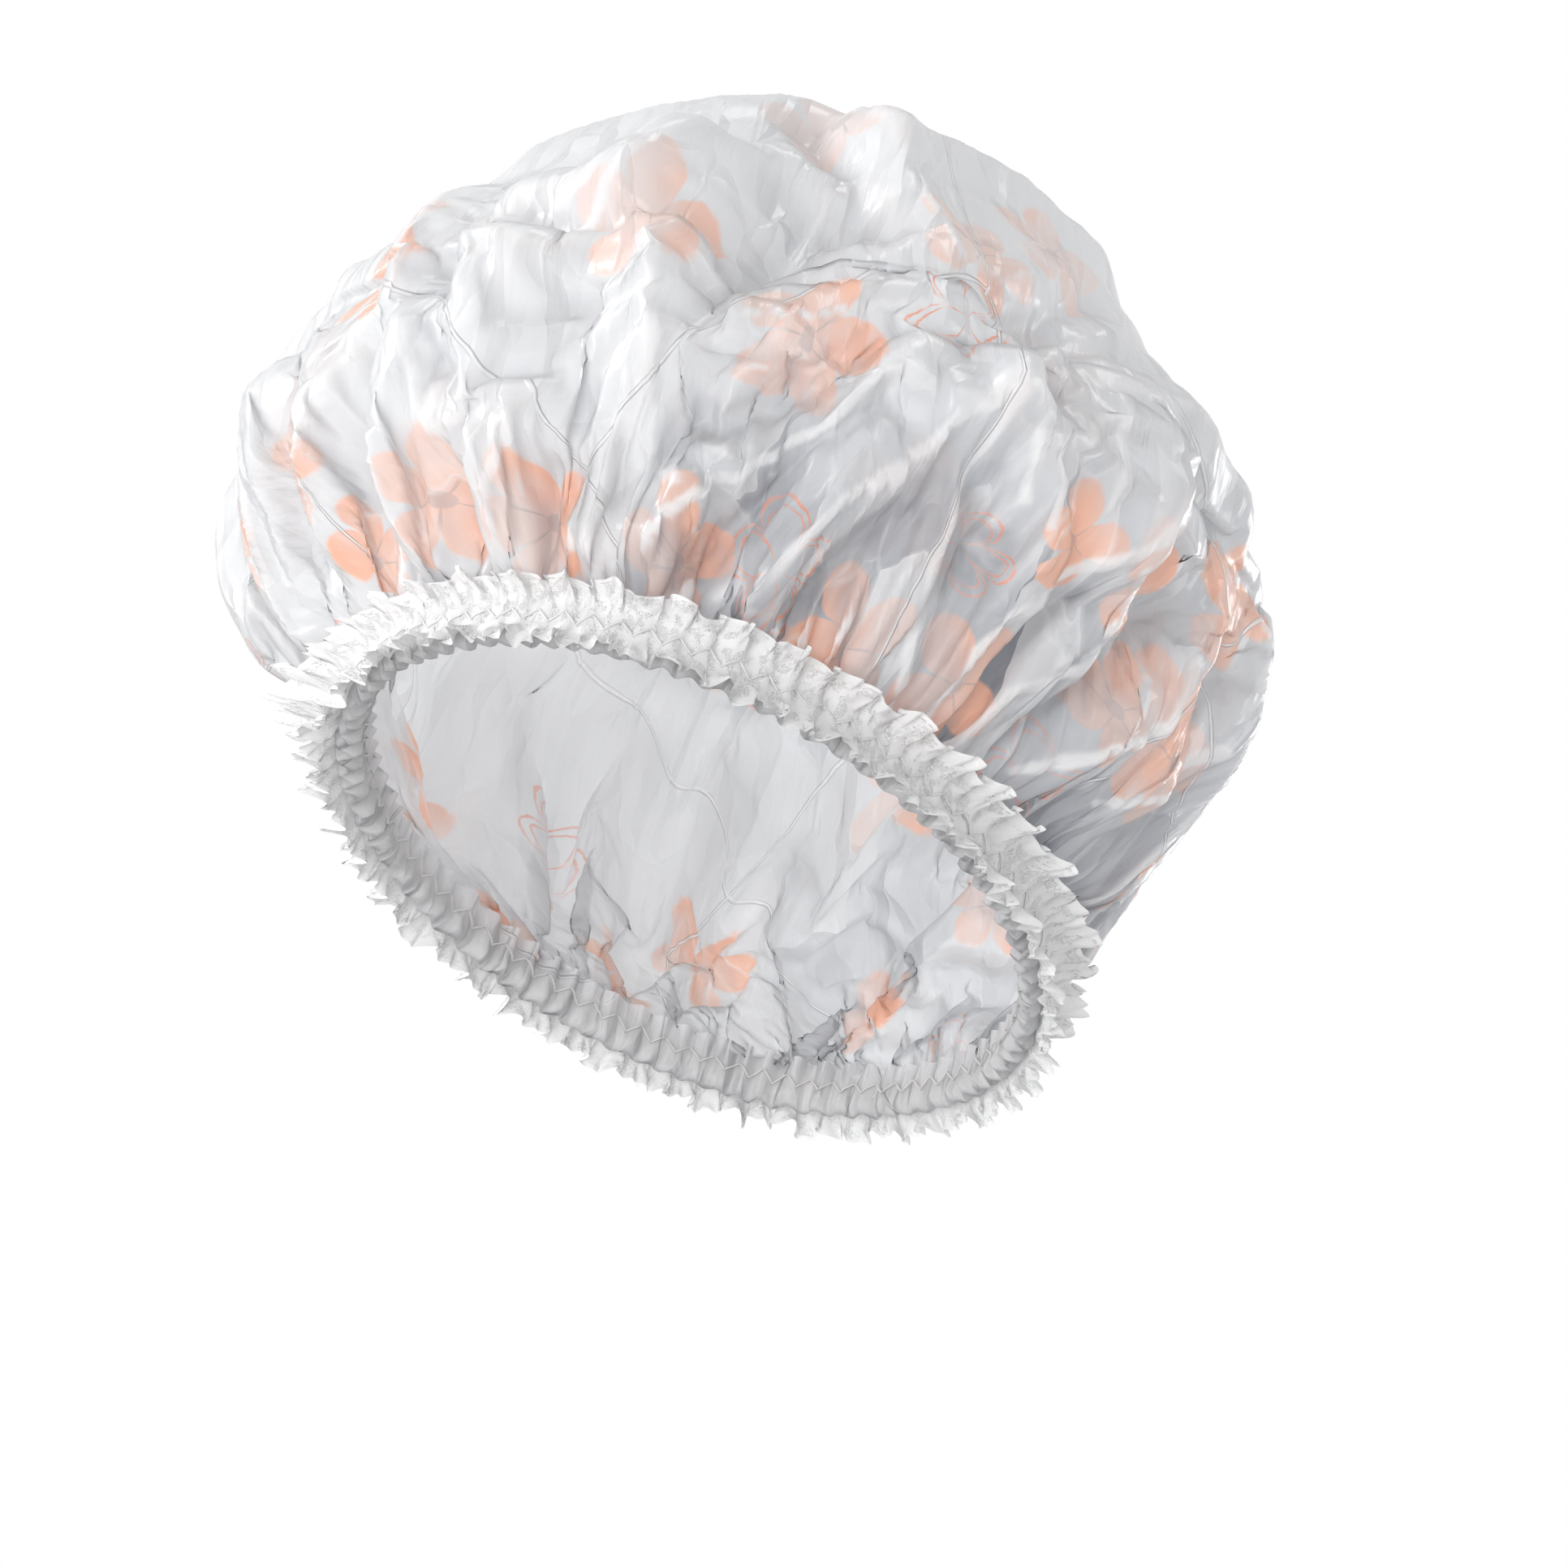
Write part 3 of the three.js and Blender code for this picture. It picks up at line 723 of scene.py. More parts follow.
    def settled(self, grid: Array, flat: Array, away: Array) -> tuple[Array, Array]:
        """Film whose mean form lies on the crown, with its folds and the main creases.

        The height over the smooth crown is parted into its mean over a neighbourhood and the rest.
        The mean becomes a limit times the hyperbolic tangent of the mean over the limit, and the
        rest, with its finest wrinkles weakened, does the same with one limit outwards and another
        inwards. The creases and crumples are added to both.

        Args:
            grid: worn places as a square grid.
            flat: places on the flat disc.
            away: their distances from the disc's middle.

        Returns:
            The worn places, changed along the direction square to the smooth crown, and the
            painted light of the folds: up to 1 for a painted highlight on a sharp ridge and down
            to -1 for painted shade in a hollow.
        """
        shape = grid.shape[:2]
        turn, share = self.place(flat)
        rise = self.form.rise_at(turn, share)
        normals = self.form.normal(turn, rise).reshape(grid.shape)
        height = ((grid - self.form.point(turn, rise).reshape(grid.shape)) * normals).sum(-1)
        panel = (away < self.panel_radius).reshape(shape)
        height = np.where(panel, height, 0)
        mean = self.blurred(height, self.mean_cells)
        rest = height - mean
        upper = smooth_step(share, *self.smooth_rise).reshape(shape)
        loss = self.fine_loss + (self.smooth_loss - self.fine_loss) * upper
        rest = rest - loss * (rest - self.blurred(rest, self.fine_cells))
        bound = np.where(rest > 0, self.fold_out, self.fold_in)
        mean = self.mean_limit * np.tanh(mean / self.mean_limit)
        kept = mean + bound * np.tanh(rest / bound) - self.sunk
        creases, _, crest = self.crease_heights(turn, rise)
        press = np.where(creases > 0, self.ridge_press, self.hollow_press)
        creases *= press * smooth_step(share, 0.0, self.press_ease)
        final = np.where(panel, kept + (creases + self.crumple(flat, away)).reshape(shape), 0)
        # Painted light of the folds: a painted highlight on sharp ridges and crease crests, and painted shade
        # in the hollows.
        ridge = final - self.blurred(final, self.ridge_cells)
        hollow = self.blurred(final, self.hollow_cells) - final
        crest = smooth_step(crest, *self.crest_highlight).reshape(shape)
        sharp = np.maximum(smooth_step(ridge, *self.ridge_highlight), crest)
        fold_light = sharp - smooth_step(hollow, *self.hollow_shade) * (1 - sharp)
        return grid + normals * (final - height)[..., None], np.where(panel, fold_light, 0).ravel()

    def crumple(self, flat: Array, away: Array) -> Array:
        """Height of the small crumples: three layers of dents, each with sharp edges between them.

        A layer drops one dent somewhere in each cell of a square grid. The height at a place is
        its distance from the nearest dent, so that the places between the dents stand up as edges.

        Args:
            flat: places on the flat disc.
            away: their distances from the disc's middle.

        Returns:
            The heights in metres.
        """
        random = np.random.default_rng(self.crumple_seed)
        total = np.zeros(len(flat))
        for size, height in self.crumples:
            cells = int(2 * self.disc_radius / size) + 6
            dents = random.random((cells, cells, 2))
            bend = np.sin(flat[:, ::-1] / size * 1.7 + np.array([1.0, 2.5]))
            warp = self.crumple_warp * size * bend
            spot = (flat + warp + self.disc_radius) / size + 2
            cell = np.floor(spot).astype(int)
            nearest = np.full(len(flat), 9.0)
            for i in (-1, 0, 1):
                for j in (-1, 0, 1):
                    near = cell + np.array([i, j])
                    place = near + dents[near[:, 0], near[:, 1]]
                    nearest = np.minimum(nearest, np.linalg.norm(spot - place, axis=1))
            total += height * (nearest - self.crumple_middle)
        return total * smooth_step(self.panel_radius - away, *self.crumple_ease)

    def refined(self, grid: Array) -> Array:
        """Grid with a point between each two, rounded along rows and columns.

        The old points move by a share of the step that a cubic B-spline would take, which is an
        eighth of the sum of their neighbours less a quarter of themselves.
        """
        for _ in range(2):
            middle = (grid[:-1] + grid[1:]) / 2
            kept = grid.copy()
            kept[1:-1] += self.rounding * (grid[:-2] - 2 * grid[1:-1] + grid[2:]) / 8
            finer = np.empty((2 * len(grid) - 1, *grid.shape[1:]))
            finer[::2], finer[1::2] = kept, middle
            grid = finer.swapaxes(0, 1)
        return grid

    def print_places(self, flat: Array, faces: NDArray[np.int64]) -> Array:
        """Place of each face corner in its nearest printed flower, and the flower's kind.

        The front flowers are listed one by one. The rest of the disc is filled from a spiral of
        places a golden angle apart, leaving out those too near a flower that is there already.

        Args:
            flat: places of the points on the flat disc.
            faces: the quads.

        Returns:
            For each face corner, two coordinates about the flower's middle and the flower's kind.
        """
        turn, share = self.place(flat)
        rise = self.form.rise_at(turn, share)
        worn = self.form.point(turn, rise)
        blooms = []
        for flower in self.flowers:
            spot = self.form.point(np.array(math.radians(flower.turn)), np.array(flower.rise))
            centre = flat[np.argmin(np.linalg.norm(worn - spot, axis=1))]
            blooms.append(
                (*centre, flower.radius, math.radians(flower.spin), flower.bloom.value, flower.stretch)
            )
        golden = math.pi * (3 - math.sqrt(5))
        for number in range(self.spiral_places):
            away = self.disc_radius * math.sqrt((number + 0.5) / self.spiral_places)
            centre = np.array([away * math.cos(number * golden), away * math.sin(number * golden)])
            gaps = [math.hypot(centre[0] - x, centre[1] - y) for x, y, *_ in blooms]
            if min(gaps) > self.flower_gap:
                kind, (mean, spread) = Bloom.FILLED, self.filled_radius
                radius = mean + spread * math.sin(number * 1.7)
                if number % 3 == 0:
                    kind, radius = Bloom.LINES, self.lines_radius
                blooms.append((*centre, radius, number * 1.3, kind.value, self.spiral_stretch))
        table = np.array(blooms)
        inward = -unit(table[:, :2])
        across = np.stack([inward[:, 1], -inward[:, 0]], axis=-1) / table[:, 5:6]

        def local(points: Array, bloom: Array) -> Array:
            """Places across and towards the disc's middle, in flower radii.

            Args:
                points: places on the flat disc.
                bloom: number of each one's flower.

            Returns:
                Two coordinates for each place.
            """
            offset = (points - table[bloom, :2]) / table[bloom, 2:3]
            parts = [(offset * direction[bloom]).sum(-1) for direction in (across, inward)]
            return np.stack(parts, axis=-1)

        centres = flat[faces].mean(axis=1)
        every = [local(centres, np.full(len(centres), bloom)) for bloom in range(len(table))]
        nearest = np.argmin(np.linalg.norm(every, axis=-1), axis=0)
        corner = local(flat[faces].reshape(-1, 2), np.repeat(nearest, 4)).reshape(-1, 4, 2)
        nearest = table[nearest]
        cos, sin = np.cos(nearest[:, 3])[:, None], np.sin(nearest[:, 3])[:, None]
        x = corner[..., 0] * cos + corner[..., 1] * sin
        y = corner[..., 1] * cos - corner[..., 0] * sin
        kind = np.broadcast_to(nearest[:, 4:5], x.shape)
        return np.stack([x, y, kind], axis=-1).reshape(-1, 3)

    def build(self) -> bpy.types.Object:
        """Makes the crumpled crown with its flat-cut UV map and its print places.

        Returns:
            The finished piece, not yet dressed.
        """
        flat, away = self.disc(self.half_cells)
        gathered, held = self.worn(flat, away)
        points = self.simulate(flat, gathered, held)
        side = 2 * self.half_cells + 1
        fine_flat, fine_away = self.disc(2 * self.half_cells)
        refined = self.refined(points.reshape(side, side, 3))
        fine_grid, fold_light = self.settled(refined, fine_flat, fine_away)
        faces = self.faces(2 * self.half_cells)
        piece = make_piece("crown_film_sheet", fine_grid.reshape(-1, 3), faces)
        add_uv(piece, "flat", fine_flat)
        # Painted light of the folds, kept for the film's colour: highlights on ridges, shade in hollows.
        fold_lights = piece.data.attributes.new("fold_light_and_shade", "FLOAT", "POINT")
        fold_lights.data.foreach_set("value", fold_light.astype(np.float32))
        places = piece.data.attributes.new("print_place", "FLOAT_VECTOR", "CORNER")
        printed = self.print_places(fine_flat, faces)
        places.data.foreach_set("vector", printed.astype(np.float32).ravel())
        return piece


# Lace ruffle


@dataclass
class LaceRuffle:
    """Strip of net lace, gathered with the film and sewn to the outside of the casing."""

    form: CrownForm = field(default_factory=CrownForm)
    gathers: Gathers = field(default_factory=Gathers)
    flat_length: float = 1.15
    flat_height: float = 0.023
    seam_low: float = 0.0063
    seam_high: float = 0.0107
    seam_out: float = 0.0034
    seam_pleat: float = 0.0005
    lower_pleat: float = 0.0014
    upper_pleat: float = 0.0014
    lobe: float = 0.0038
    frill: float = 0.0008
    upper_rise: float = 0.085
    upper_lift: float = 0.0036
    lower_out: float = 0.0048
    flare: float = 0.009
    flare_turn: float = 0.6 * TURN
    flare_reach: float = 0.035 * TURN
    scallops: int = 64
    scallop_depth: float = 0.0018
    slow: Waves = ((9, 1.0, 2.0), (14, 0.6, 0.0))
    scallop_power: float = 0.6
    seam_shares: Pair = (0.31, 0.50)
    seam_bend: float = 0.0042
    stray: Pair = (0.0012, 0.0006)
    second_wave: float = 0.20
    curl: float = 0.3
    sway: float = 0.4
    columns: int = 84 * 18
    rows: int = 29

    def surface(self, turn: Array, across: Array) -> Array:
        """Points of the worn lace.

        Up the strip the middle line runs from the lower edge to the seam, straight up the seam,
        and along a quadratic curve that leaves the seam upright and ends over the crown. The
        pleats move it square to the crown, and sideways at twice their phase, so that they curl
        over like a figure of eight. Both edges are scalloped along the flat strip.

        Args:
            turn: angle about +Z.
            across: share of the way up the strip.

        Returns:
            One point for each turn and share.
        """
        form, opening = self.form, self.form.opening
        turn, across = np.broadcast_arrays(turn, across)
        slow = waves(turn, self.slow)
        wave = np.abs(np.sin(self.scallops / 2 * turn + 0.5 * slow)) ** self.scallop_power
        edges = (1 - smooth_step(across, 0, 0.3)) - smooth_step(across, 0.6, 1)
        across = across + self.scallop_depth / self.flat_height * (1 - wave) * edges
        phase, uneven = self.gathers.phase(turn), self.gathers.height(turn)
        beside = (turn - self.flare_turn + math.pi) % TURN - math.pi
        flare = self.flare * np.exp(-((beside / self.flare_reach) ** 2))
        low, high = self.seam_shares
        seam_low = opening.at(turn, self.seam_out, self.seam_low)
        seam_high = opening.at(turn, self.seam_out, self.seam_high)
        bottom = opening.at(turn, self.lower_out + 0.25 * flare, 0.0)
        rise = np.full(turn.shape, self.upper_rise)
        normal = form.normal(turn, rise)
        outward, upward = opening.outward(turn), np.array([0.0, 0.0, 1.0])
        top = form.point(turn, rise) + normal * self.upper_lift + outward * flare[..., None]
        stray = self.stray[0] * np.sin(phase / 2 + 1.0) + self.stray[1] * np.sin(3 * phase / 2)
        top = top + upward * stray[..., None]
        below = (across / low)[..., None]
        inside = ((across - low) / (high - low))[..., None]
        above = np.clip((across - high) / (1 - high), 0, None)[..., None]
        bend = seam_high + upward * self.seam_bend
        curve = seam_high * (1 - above) ** 2 + bend * 2 * above * (1 - above) + top * above**2
        under = bottom + (seam_low - bottom) * below
        seam = seam_low + (seam_high - seam_low) * inside
        middle = np.where(above > 0, curve, np.where(below < 1, under, seam))
        loose_low, loose_high = 1 - smooth_step(across, 0, low), smooth_step(across, high, 1)
        height = self.seam_pleat + self.lower_pleat * loose_low + self.upper_pleat * loose_high
        loose, free = loose_low + loose_high, loose_high[..., None]
        shape = np.sin(phase) + self.second_wave * np.sin(2 * phase + 0.8) * loose
        direction = unit(outward * (1 - free * 0.5) + normal * free)
        tangent = np.cross(upward, outward)
        lobes = 0.5 + 0.5 * np.sin(phase / 2 + 0.9 + 0.7 * slow)
        frill = np.sin(5 * phase / 2 + 9 * across) + np.sin(7 * phase / 2 - 14 * across + 1)
        out = height * uneven * shape + loose * (self.lobe * lobes + self.frill * frill)
        lean = self.curl * height * np.sin(2 * phase + 2.2)
        lean = lean + self.sway * self.lobe * loose * np.sin(phase + 1.4 * slow)
        return middle + direction * out[..., None] + tangent * lean[..., None]

    def build(self) -> bpy.types.Object:
        """Makes the gathered strip with a UV map in metres along and across the flat lace.

        Returns:
            The finished piece, not yet dressed.
        """
        turns = np.linspace(0, TURN, self.columns + 1)[:-1]
        shares = np.linspace(0, 1, self.rows)
        points = self.surface(turns[None], shares[:, None])
        points[..., 2] -= points[..., 2].min()
        piece = make_piece("lace_ruffle_net", points, grid_faces(self.rows, self.columns, True))
        along = np.tile(turns / TURN * self.flat_length, self.rows)
        across = np.repeat(shares * self.flat_height, self.columns)
        add_strip_uv(piece, along, across, self.flat_length)
        return piece


# Elastic and thread


@dataclass
class Elastic:
    """Flat braided elastic in the casing, lapped on itself at the back."""

    opening: ElasticOval = field(default_factory=ElasticOval)
    width: float = 0.006
    thickness: float = 0.0008
    middle: float = 0.0085
    lap: float = 0.012
    inner_out: float = -0.00045
    outer_out: float = 0.00065
    ribs: int = 8
    rib_depth: float = 0.00012
    steps: int = 420
    sides: int = 64
    side_power: float = 0.55
    end_power: float = 0.35
    back: float = TURN / 4

    def build(self) -> bpy.types.Object:
        """Makes the strip: a flat ribbed section carried round the opening.

        The section is a rounded bar, whose two broad sides are waved by the ribs. Along the way
        the strip creeps outwards by its thickness, so that its ends lie on each other.

        Returns:
            The finished piece, not yet dressed.
        """
        lap_turn = self.lap / self.opening.length() * TURN
        share = np.linspace(0, 1, self.steps)
        turn = self.back - lap_turn / 2 + (TURN + lap_turn) * share
        out = self.inner_out + (self.outer_out - self.inner_out) * share
        side = np.linspace(0, TURN, self.sides + 1)[:-1]
        wide = np.sign(np.sin(side)) * np.abs(np.sin(side)) ** self.side_power * self.width / 2
        rib = self.rib_depth * (np.cos(wide / self.width * TURN * self.ribs) - 1) / 2
        swell = np.abs(np.cos(side)) ** self.end_power * self.thickness / 2
        thick = np.sign(np.cos(side)) * (swell + rib)
        thick[np.abs(np.cos(side)) < 1e-6] = 0
        out = out[:, None] + thick[None]
        points = self.opening.at(turn[:, None], out, self.middle + wide[None])
        faces = grid_faces(self.steps, len(side), True)[:, ::-1]
        piece = make_piece("elastic_braid", points, faces)
        along = np.repeat(share * (self.opening.length() + self.lap), len(side))
        across = np.tile(wide + self.width, self.steps)
        add_uv(piece, "strip", np.stack([across, along], axis=-1))
        close_ends(piece, self.steps, len(side))
        return piece


def close_ends(piece: bpy.types.Object, rows: int, columns: int) -> None:
    """Closes both ends of a tube of rows of points with one face each.

    Args:
        piece: the tube.
        rows: its number of rows.
        columns: number of points in each row.
    """
    work = bmesh.new()
    work.from_mesh(piece.data)
    work.verts.ensure_lookup_table()
    first = [work.verts[i] for i in range(columns)]
    last = [work.verts[(rows - 1) * columns + i] for i in range(columns)]
    work.faces.new(first)
    work.faces.new(last[::-1])
    bmesh.ops.recalc_face_normals(work, faces=work.faces)
    work.to_mesh(piece.data)
    work.free()


def thread_tube(name: str, path: Array, radius: float, closed: bool) -> bpy.types.Object:
    """Round thread along a path.

    A circle is carried along the path, in the plane of the cross products of the path's
    direction with a fixed upward direction. UV runs round the thread and along it.

    Args:
        name: the piece's name.
        path: points along the thread's middle.
        radius: the thread's radius.
        closed: True if the last point leads to the first.

    Returns:
        The thread.
    """
    sides = 8
    if closed:
        ahead = np.roll(path, -1, axis=0) - np.roll(path, 1, axis=0)
    else:
        ahead = np.gradient(path, axis=0)
    ahead = unit(ahead)
    out = unit(path * np.array([1.0, 1.0, 0.0]))
    side = unit(np.cross(ahead, out))
    up = np.cross(side, ahead)
    angle = np.linspace(0, TURN, sides + 1)[:-1]
    ring = np.cos(angle)[None, :, None] * side[:, None] + np.sin(angle)[None, :, None] * up[:, None]
    points = path[:, None] + radius * ring
    faces = grid_faces(len(path), sides, True)
    if closed:
        last = np.arange(sides) + (len(path) - 1) * sides
        first = np.arange(sides)
        joint = np.stack([last, np.roll(last, -1), np.roll(first, -1), first], axis=-1)
        faces = np.concatenate([faces, joint])
    piece = make_piece(name, points, faces)
    step = np.linalg.norm(np.diff(path, axis=0), axis=1)
    along = np.repeat(np.concatenate([[0], np.cumsum(step)]), sides)
    add_uv(piece, "strip", np.stack([np.tile(angle / TURN, len(path)), along], axis=-1))
    if not closed:
        close_ends(piece, len(path), sides)
    return piece


@dataclass
class Stitching:
    """Zigzag lockstitch through lace, casing and elastic, and the tack over the elastic's lap."""

    opening: ElasticOval = field(default_factory=ElasticOval)
    gathers: Gathers = field(default_factory=Gathers)
    radius: float = 0.00025
    pitch: float = 0.007
    width: float = 0.003
    middle: float = 0.0085
    outer_out: float = 0.0040
    inner_out: float = -0.0033
    tack_out: float = -0.0014
    tack_length: float = 0.009
    tack_height: float = 0.004
    tack_turns: int = 9
    back: float = TURN / 4
    bite: float = 0.0004
    bite_reach: float = 0.12
    pleat: float = 0.0004
    points_each: int = 8

    def swing(self, step: Array) -> Array:
        """Side to side between -1 and 1, once there and back in two steps."""
        return np.abs((step % 2) - 1) * 2 - 1

    def zigzag(self, name: str, out: float) -> bpy.types.Object:
        """One side of the seam: a zigzag round the opening that dips into the cloth at each corner.

        Args:
            name: the piece's name.
            out: how far outside the oval the thread's middle lies. It dips towards the oval.

        Returns:
            The thread.
        """
        corners = 2 * round(self.opening.length() / self.pitch)
        step = np.arange(corners * self.points_each) / self.points_each
        turn = step / corners * TURN
        height = self.middle + self.swing(step) * self.width / 2
        dip = np.exp(-(((step + 0.5) % 1 - 0.5) / self.bite_reach) ** 2)
        pleat = self.pleat * np.sin(self.gathers.phase(turn)) * self.gathers.height(turn)
        path = self.opening.at(turn, out + pleat - math.copysign(self.bite, out) * dip, height)
        return thread_tube(name, path, self.radius, True)

    def lap_tack(self) -> bpy.types.Object:
        """Short zigzag that joins the elastic's two ends at the back.

        Returns:
            The thread.
        """
        step = np.linspace(0, self.tack_turns, self.tack_turns * self.points_each + 1)
        along = (step / self.tack_turns - 0.5) * self.tack_length
        turn = self.back + along / self.opening.length() * TURN
        height = self.middle + self.swing(step) * self.tack_height / 2
        path = self.opening.at(turn, self.tack_out, height)
        return thread_tube("elastic_lap_stitches", path, self.radius, False)


# Finishes


class Signal:
    """What a node gives out: a number, colour, place or shader. Sums are written as on numbers."""

    def __init__(self, recipe: "Recipe", socket: bpy.types.NodeSocket) -> None:
        """Keeps the output and the recipe that it belongs to."""
        self.recipe, self.socket = recipe, socket

    def __add__(self, other: object) -> "Signal":
        """This number plus another."""
        return self.recipe.math("ADD", self, other)

    def __sub__(self, other: object) -> "Signal":
        """This number less another."""
        return self.recipe.math("SUBTRACT", self, other)

    def __mul__(self, other: object) -> "Signal":
        """This number times another."""
        return self.recipe.math("MULTIPLY", self, other)

    def __or__(self, other: object) -> "Signal":
        """The greater of two numbers, which joins two masks."""
        return self.recipe.math("MAXIMUM", self, other)

    def __abs__(self) -> "Signal":
        """This number without its sign."""
        return self.recipe.math("ABSOLUTE", self)

    def step(self, start: float, end: float) -> "Signal":
        """Share of the way from start to end, eased and held at 0 and 1."""
        inputs = {"Value": self, "From Min": start, "From Max": end}
        return self.recipe.add("MapRange", inputs, interpolation_type="SMOOTHSTEP")

    def between(self, low: float, high: float) -> "Signal":
        """Carries a share from 0 to 1 to a range of values."""
        return self.recipe.add("MapRange", {"Value": self, "To Min": low, "To Max": high})

    def along(self, direction: Triple) -> "Signal":
        """How far this place lies along a direction."""
        inputs = {0: self, 1: direction}
        return self.recipe.add("VectorMath", inputs, "Value", operation="DOT_PRODUCT")

    def split(self) -> list["Signal"]:
        """The three coordinates of this place, or the three parts of this colour."""
        node = self.recipe.add("SeparateXYZ", {0: self}).socket.node
        return [Signal(self.recipe, socket) for socket in node.outputs]


class Recipe:
    """Node material under construction."""

    def __init__(self, name: str) -> None:
        """Starts an empty material.

        Args:
            name: the material's name.
        """
        self.material = bpy.data.materials.new(name)
        self.material.use_nodes = True
        self.tree = self.material.node_tree
        self.tree.nodes.clear()

    def add(
        self, kind: str, inputs: dict[int | str, object] | None = None, output: int | str = 0,
        **settings: object,
    ) -> Signal:
        """Adds a node.

        Args:
            kind: the node's kind, without the word ShaderNode before it.
            inputs: a value or another node's output for each input, by its number or name.
            output: number or name of the wanted output.
            settings: the node's own properties.

        Returns:
            The wanted output.
        """
        node = self.tree.nodes.new("ShaderNode" + kind)
        for key, value in settings.items():
            setattr(node, key, value)
        for key, value in (inputs or {}).items():
            if isinstance(value, Signal):
                self.tree.links.new(value.socket, node.inputs[key])
            else:
                node.inputs[key].default_value = value
        return Signal(self, node.outputs[output] if node.outputs else None)

    def math(self, operation: str, *values: object) -> Signal:
        """Result of one operation on numbers."""
        return self.add("Math", dict(enumerate(values)), operation=operation)

    def distance(self, x: Signal, y: Signal) -> Signal:
        """Distance of a place from the middle: the root of the sum of the squares."""
        return self.math("SQRT", x * x + y * y)

    def mix(self, share: object, first: object, second: object) -> Signal:
        """Mix of two colours."""
        return self.add("Mix", {0: share, 6: first, 7: second}, 2, data_type="RGBA")

    def uv(self, name: str) -> Signal:
        """Place on a UV map."""
        return self.add("UVMap", uv_map=name)

    def noise(self, place: Signal, scale: float, detail: float = 2.0) -> Signal:
        """Cloudy value between 0 and 1."""
        return self.add("TexNoise", {"Vector": place, "Scale": scale, "Detail": detail})

    def cells(self, place: Signal, scale: float, randomness: float = 1.0) -> Signal:
        """Distance from the edge of a cell in a pattern of cells."""
        inputs = {"Vector": place, "Scale": scale, "Randomness": randomness}
        return self.add("TexVoronoi", inputs, "Distance", feature="DISTANCE_TO_EDGE")

    def join(self, x: Signal, y: Signal) -> Signal:
        """Place in a plane from its two coordinates."""
        return self.add("CombineXYZ", {0: x, 1: y})

    def bump(self, height: Signal, distance: float) -> Signal:
        """Surface direction bent by a height."""
        return self.add("Bump", {"Height": height, "Distance": distance, "Strength": 1.0})

    def shader(self, kind: str, **values: object) -> Signal:
        """Shader with its inputs named by their labels, spaces as underscores."""
        inputs = {key.replace("_", " "): value for key, value in values.items()}
        return self.add("Bsdf" + kind, inputs)

    def mixed(self, share: object, first: Signal, second: Signal) -> Signal:
        """Mix of two shaders."""
        return self.add("MixShader", {0: share, 1: first, 2: second})

    def finish(self, surface: Signal) -> bpy.types.Material:
        """Ends the material with its surface."""
        self.add("OutputMaterial", {"Surface": surface})
        return self.material


@dataclass(frozen=True)
class FlowerPrint:
    """Print of the film: filled flowers, and flowers drawn in lines. Sizes are in flower radii.

    A pair of numbers is where a ramp starts and ends. Three are a line's place inside the
    petal's edge and the distances from it at which the line starts and is whole.
    """

    petals: float = 2.5
    petal_edge: float = 0.38
    petal_length: float = 0.58
    petal_power: float = 0.5
    wobble: float = 0.16
    wobble_scale: float = 2.5
    filled_kind: Pair = (0.7, 0.8)
    soft_edge: Pair = (0.0, 0.10)
    rim: Triple = (0.04, 0.045, 0.015)
    loop: Triple = (0.20, 0.035, 0.012)
    vein: Pair = (0.16, 0.06)
    vein_end: Pair = (0.0, 0.05)
    spoke: Pair = (0.22, 0.08)
    spoke_end: Pair = (0.46, 0.22)
    heart: Pair = (0.13, 0.09)

    def masks(self, recipe: Recipe) -> tuple[Signal, Signal, Signal]:
        """Masks of the filled petals, the drawn lines and the grey pencil lines.

        A petal's edge lies at its least distance plus its length times a power of the absolute
        cosine of two and a half times the angle about the flower's middle, which gives five round
        petals. A slow noise makes it wobble.

        Args:
            recipe: the material under construction.

        Returns:
            The three masks.
        """
        place = recipe.add("Attribute", output="Vector", attribute_name="print_place")
        x, y, kind = place.split()
        away, angle = recipe.distance(x, y), recipe.math("ARCTAN2", y, x)
        lobe = abs(recipe.math("COSINE", angle * self.petals))
        edge = recipe.math("POWER", lobe, self.petal_power) * self.petal_length + self.petal_edge
        wobble = recipe.noise(place, self.wobble_scale, 5.0).between(-self.wobble, self.wobble)
        depth = edge + wobble - away
        is_filled = kind.step(*self.filled_kind)
        filled = depth.step(*self.soft_edge) * is_filled
        rim, loop = (abs(depth - line[0]).step(line[1], line[2]) for line in (self.rim, self.loop))
        vein = lobe.step(*self.vein) * depth.step(*self.vein_end)
        drawn = (rim | loop | vein) * recipe.math("SUBTRACT", 1.0, is_filled)
        spoke = lobe.step(*self.spoke) * away.step(*self.spoke_end)
        return filled, drawn, (spoke | away.step(*self.heart)) * is_filled


